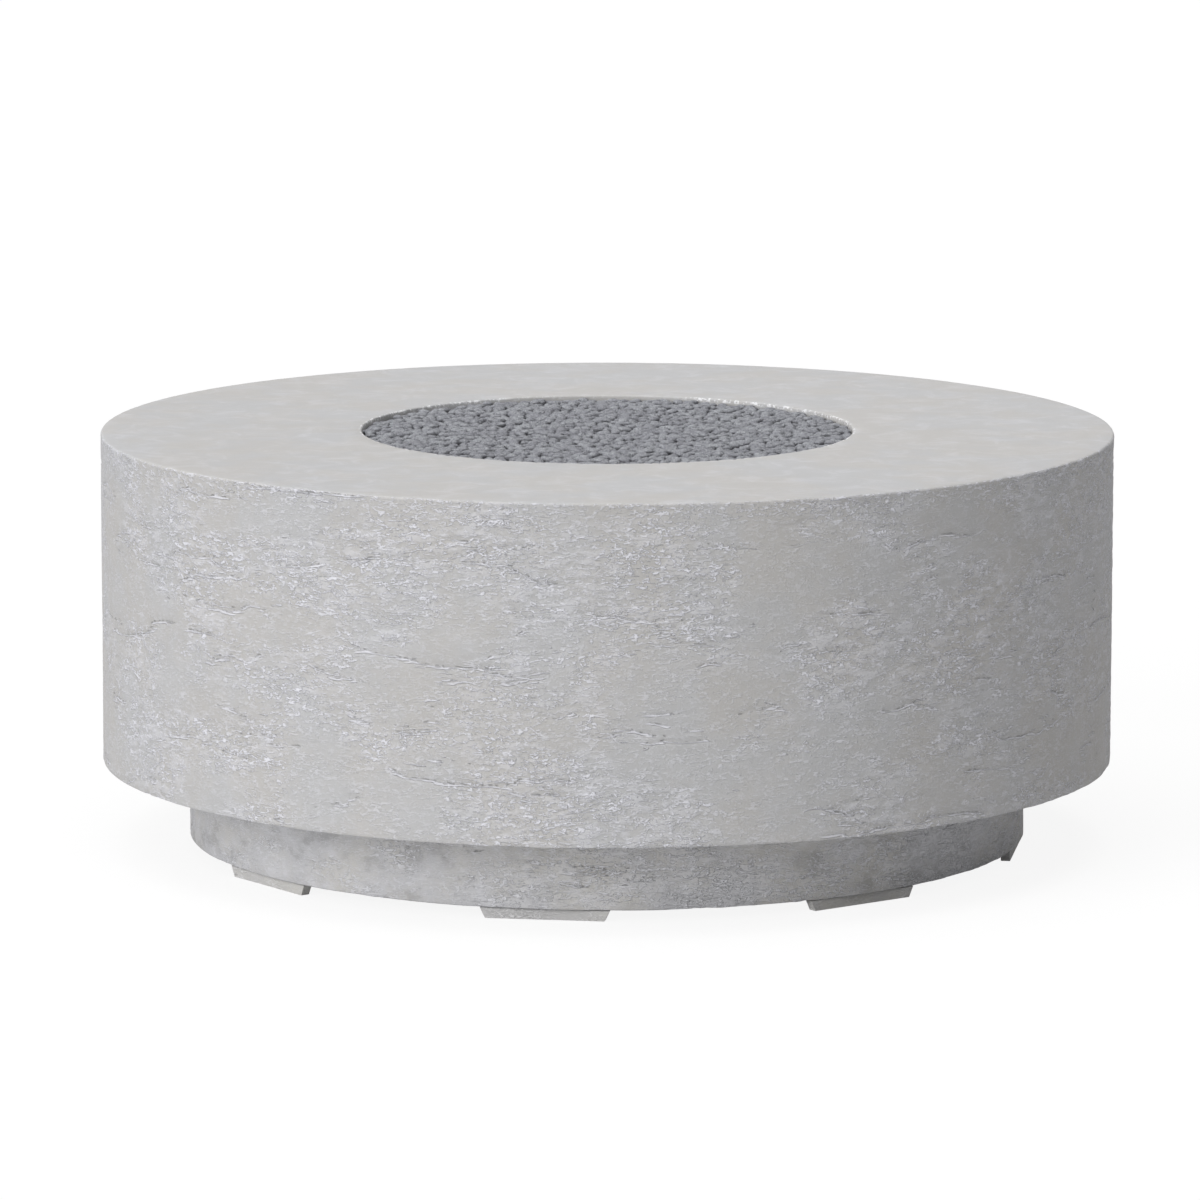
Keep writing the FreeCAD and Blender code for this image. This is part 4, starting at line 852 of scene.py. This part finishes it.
# %% A shape tree that sweeps and weaves the hose
def braided_hose():
    """Sweeps a tube along level run, bend and end run, and presses the weave into it."""
    tree, given = shape_tree("braided_hose", [
        ("Start", "Float"), ("Height", "Float"), ("Bend", "Float"), ("End run", "Float"),
        ("Radius", "Float"), ("Weave depth", "Float"), ("Strands", "Int"), ("Rings", "Int"),
        ("Sides", "Int"), ("Finish", "Material")])
    bend, radius, sides = given["Bend"], given["Radius"], given["Sides"]
    level_run = given["Start"] - bend
    length = level_run + bend * (math.pi / 2) + given["End run"]

    # the path: each point of a line is put where the hose is after the same length
    line = tree.node("GeometryNodeCurvePrimitiveLine", {"mode": "POINTS"})
    line = tree.node("GeometryNodeResampleCurve", None, {"Curve": line, "Count": given["Rings"]})
    gone = tree.node("GeometryNodeInputIndex") / (given["Rings"] - 1.0) * length
    turn = ((gone - level_run) / bend).at_least(0.0).at_most(math.pi / 2)
    spot = tree.node("ShaderNodeCombineXYZ", None, {
        "Y": given["Start"] - gone.at_most(level_run) - bend * turn.sine(),
        "Z": given["Height"] + bend * (1.0 - turn.cosine())
             + (gone - level_run - bend * (math.pi / 2)).at_least(0.0)})
    path = tree.node("GeometryNodeSetPosition", None, {"Geometry": line, "Position": spot})
    ring = tree.node("GeometryNodeCurvePrimitiveCircle", {"mode": "RADIUS"}, {
        "Resolution": sides, "Radius": radius})
    tube = tree.node("GeometryNodeCurveToMesh", None, {
        "Curve": path, "Profile Curve": ring, "Fill Caps": True})

    # the weave: the tube's points are numbered round each ring in turn
    number = tree.node("GeometryNodeInputIndex")
    along = (number / sides).whole() / (given["Rings"] - 1.0) * length
    around = number / sides * (2 * math.pi) * given["Strands"]
    wind = along / radius * given["Strands"]
    weave = (around + wind).sine() * (around - wind).sine() * 0.5 + 0.5
    normal = tree.node("GeometryNodeInputNormal")
    woven = tree.node("GeometryNodeSetPosition", None, {
        "Geometry": tube, "Offset": tree.scaled(normal, (weave - 1.0) * given["Weave depth"])})
    rounded = tree.node("GeometryNodeSetShadeSmooth", None, {
        "Geometry": tree.marked(woven, "weave", weave)})
    close_tree(tree, rounded, given["Finish"])
    return tree.tree


hose_tree = braided_hose()
print("braided hose:", len(hose_tree.nodes), "nodes")

# %% Lay the hose from the valve to the burner
HOSE_END_RUN = 0.030
hose_low, hose_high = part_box("gas_hose")
hose_radius = hose_high[0]
hose_height = hose_low[2] + hose_radius
hose = new_piece("woven_hose")
apply_shape(hose, hose_tree, {
    "Start": hose_high[1], "Height": hose_height, "Bend": hose_high[2] - hose_height - HOSE_END_RUN,
    "End run": HOSE_END_RUN, "Radius": hose_radius, "Weave depth": 0.0007, "Strands": 8,
    "Rings": 460, "Sides": 64, "Finish": hose_cover})
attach(hose, "table")
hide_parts("gas_hose")
print("hose:", len(hose.data.polygons), "faces, from", [round(v, 4) for v in hose.data.vertices[0].co])

# %% [markdown]
# ## The other pieces
#
# The feet, the burner, the fittings and the key keep their packed shapes, which are those of the real
# pieces already. They only need a finish each, and a table from finish to pieces shows at a glance
# what is made of what.

# %% Give every packed piece its finish
FINISHES = {
    foot_concrete: ["foot_%d" % number for number in range(1, 9)],
    lava_rock: ["lava_rock_bed"],
    brushed_steel: ["burner_pan", "burner_outer_ring", "burner_inner_ring", "burner_spokes",
                    "burner_hub", "hub_washer", "hub_locknut", "air_mixer"],
    zinc: ["foot_screws", "shell_inserts", "plinth_washers", "plinth_bolts"],
    brass: ["gas_orifice", "hose_nut_burner", "hose_nut_valve", "outlet_fitting", "inlet_fitting",
            "valve_body", "valve_ball", "valve_stem"],
    satin: ["valve_flange"],
    worn: ["valve_key", "key_cross_bar"],
}
finished = 0
for finish, names in FINISHES.items():
    for name in names:
        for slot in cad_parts[name].material_slots:
            slot.material = finish
        finished += 1
print("packed pieces finished:", finished)

# %% [markdown]
# ## Floor and surroundings
#
# The photograph shows the table on white, lit from the left and from above. The floor looks white to
# the camera, but to the light it stays a plain pale floor, so it keeps a faint shadow and throws only
# a little light back. A light path node tells the two kinds of ray apart. A floor that shone as white
# as it looks would light the dark plinth from below.

# %% The floor and the white surroundings
def seen_directly(tree):
    """1 for rays that show the background: straight from the camera, or by way of metal or glass."""
    camera_ray = tree.node("ShaderNodeLightPath", output="Is Camera Ray")
    glossy_ray = tree.node("ShaderNodeLightPath", output="Is Glossy Ray")
    clear_ray = tree.node("ShaderNodeLightPath", output="Is Transmission Ray")
    return camera_ray.at_least(glossy_ray).at_least(clear_ray)


# Seen directly, the floor is four parts white of its own and one part what falls on it.
WHITE = (1.0, 1.0, 1.0, 1.0)
OWN_WHITE = 0.8
FLOOR_REACH = 60.0
floor_finish, tree = new_finish("studio_floor")
plain = tree.node("ShaderNodeBsdfDiffuse", None, {"Color": colour(204, 204, 204)})
white = tree.node("ShaderNodeEmission", None, {"Color": WHITE, "Strength": 1.12})
both = tree.node("ShaderNodeMixShader", None, {
    0: seen_directly(tree) * OWN_WHITE, 1: plain, 2: white})
tree.node("ShaderNodeOutputMaterial", None, {"Surface": both})

floor_mesh = bpy.data.meshes.new("studio_floor")
floor_mesh.from_pydata(
    [(x * FLOOR_REACH, y * FLOOR_REACH, 0) for x, y in ((-1, -1), (1, -1), (1, 1), (-1, 1))],
    [], [(0, 1, 2, 3)])
floor = add_object("studio_floor", floor_mesh)
floor.data.materials.append(floor_finish)

world = bpy.data.worlds.new("studio")
world.use_nodes = True
world.node_tree.nodes.clear()
tree = Tree(world.node_tree)
soft = tree.node("ShaderNodeBackground", None, {"Color": WHITE, "Strength": 0.15})
white = tree.node("ShaderNodeBackground", None, {"Color": WHITE, "Strength": 1.0})
both = tree.node("ShaderNodeMixShader", None, {0: seen_directly(tree), 1: soft, 2: white})
tree.node("ShaderNodeOutputWorld", None, {"Surface": both})
bpy.context.scene.world = world
print("floor and surroundings ready")

# %% [markdown]
# ## The lamps
#
# The wall grows slowly darker from left to right, and the top is even, which two broad lamps give: a
# low one from the left and a high one from above. Sun lamps with a wide disc do this wherever the
# table stands, while area lamps would have to be moved with it. Their turn is counted from the side
# of the camera.

# %% The lamps
CAMERA_TURN = math.radians(8.25)


def broad_lamp(name, turn, height, width, strength):
    """A sun lamp with a wide disc, given by its turn round the table and its height, in degrees."""
    turn, height = CAMERA_TURN + math.radians(turn), math.radians(height)
    towards = Vector((math.sin(turn) * math.cos(height), -math.cos(turn) * math.cos(height),
                      math.sin(height)))
    lamp = bpy.data.lights.new(name, "SUN")
    lamp.energy = strength * math.pi
    lamp.angle = math.radians(width)
    stand = add_object(name, lamp)
    stand.rotation_euler = towards.to_track_quat("Z", "Y").to_euler()
    print(name, "shines from", [round(v, 2) for v in towards])


broad_lamp("side_lamp", -43, 20, 40, 0.50)
broad_lamp("overhead_lamp", -45, 80, 60, 0.62)

# %% [markdown]
# ## The camera
#
# The place of the camera was worked out from the outlines of the photograph: the rims of the drum,
# the opening and the feet fit one pinhole camera only. It stood far away with a long lens, so the
# ellipses of the table hardly widen towards the front. Its distance and height are counted in radii
# of the table, so that they stay right if the table changes its size.

# %% The camera, where the photograph was taken from
CAMERA_DISTANCE = 15.1419 * SHELL_RADIUS
CAMERA_RISE = 2.12234 * SHELL_RADIUS
CAMERA_PAN, CAMERA_TILT, CAMERA_ROLL = 0.000924, 0.161469, 0.001332
camera = bpy.data.cameras.new("photo_camera")
camera.lens = 232.2
camera.sensor_width = 36.0
camera.clip_end = 200.0
camera_stand = add_object("photo_camera", camera)
camera_stand.matrix_world = (
    Matrix.Translation((CAMERA_DISTANCE * math.sin(CAMERA_TURN),
                        -CAMERA_DISTANCE * math.cos(CAMERA_TURN), TABLE_TOP + CAMERA_RISE))
    @ Matrix.Rotation(CAMERA_TURN + CAMERA_PAN, 4, "Z")
    @ Matrix.Rotation(math.pi / 2 - CAMERA_TILT, 4, "X")
    @ Matrix.Rotation(CAMERA_ROLL, 4, "Z"))
bpy.context.scene.camera = camera_stand
bpy.context.scene.view_settings.view_transform = "Standard"
print("camera at", [round(v, 3) for v in camera_stand.matrix_world.translation])

# %% [markdown]
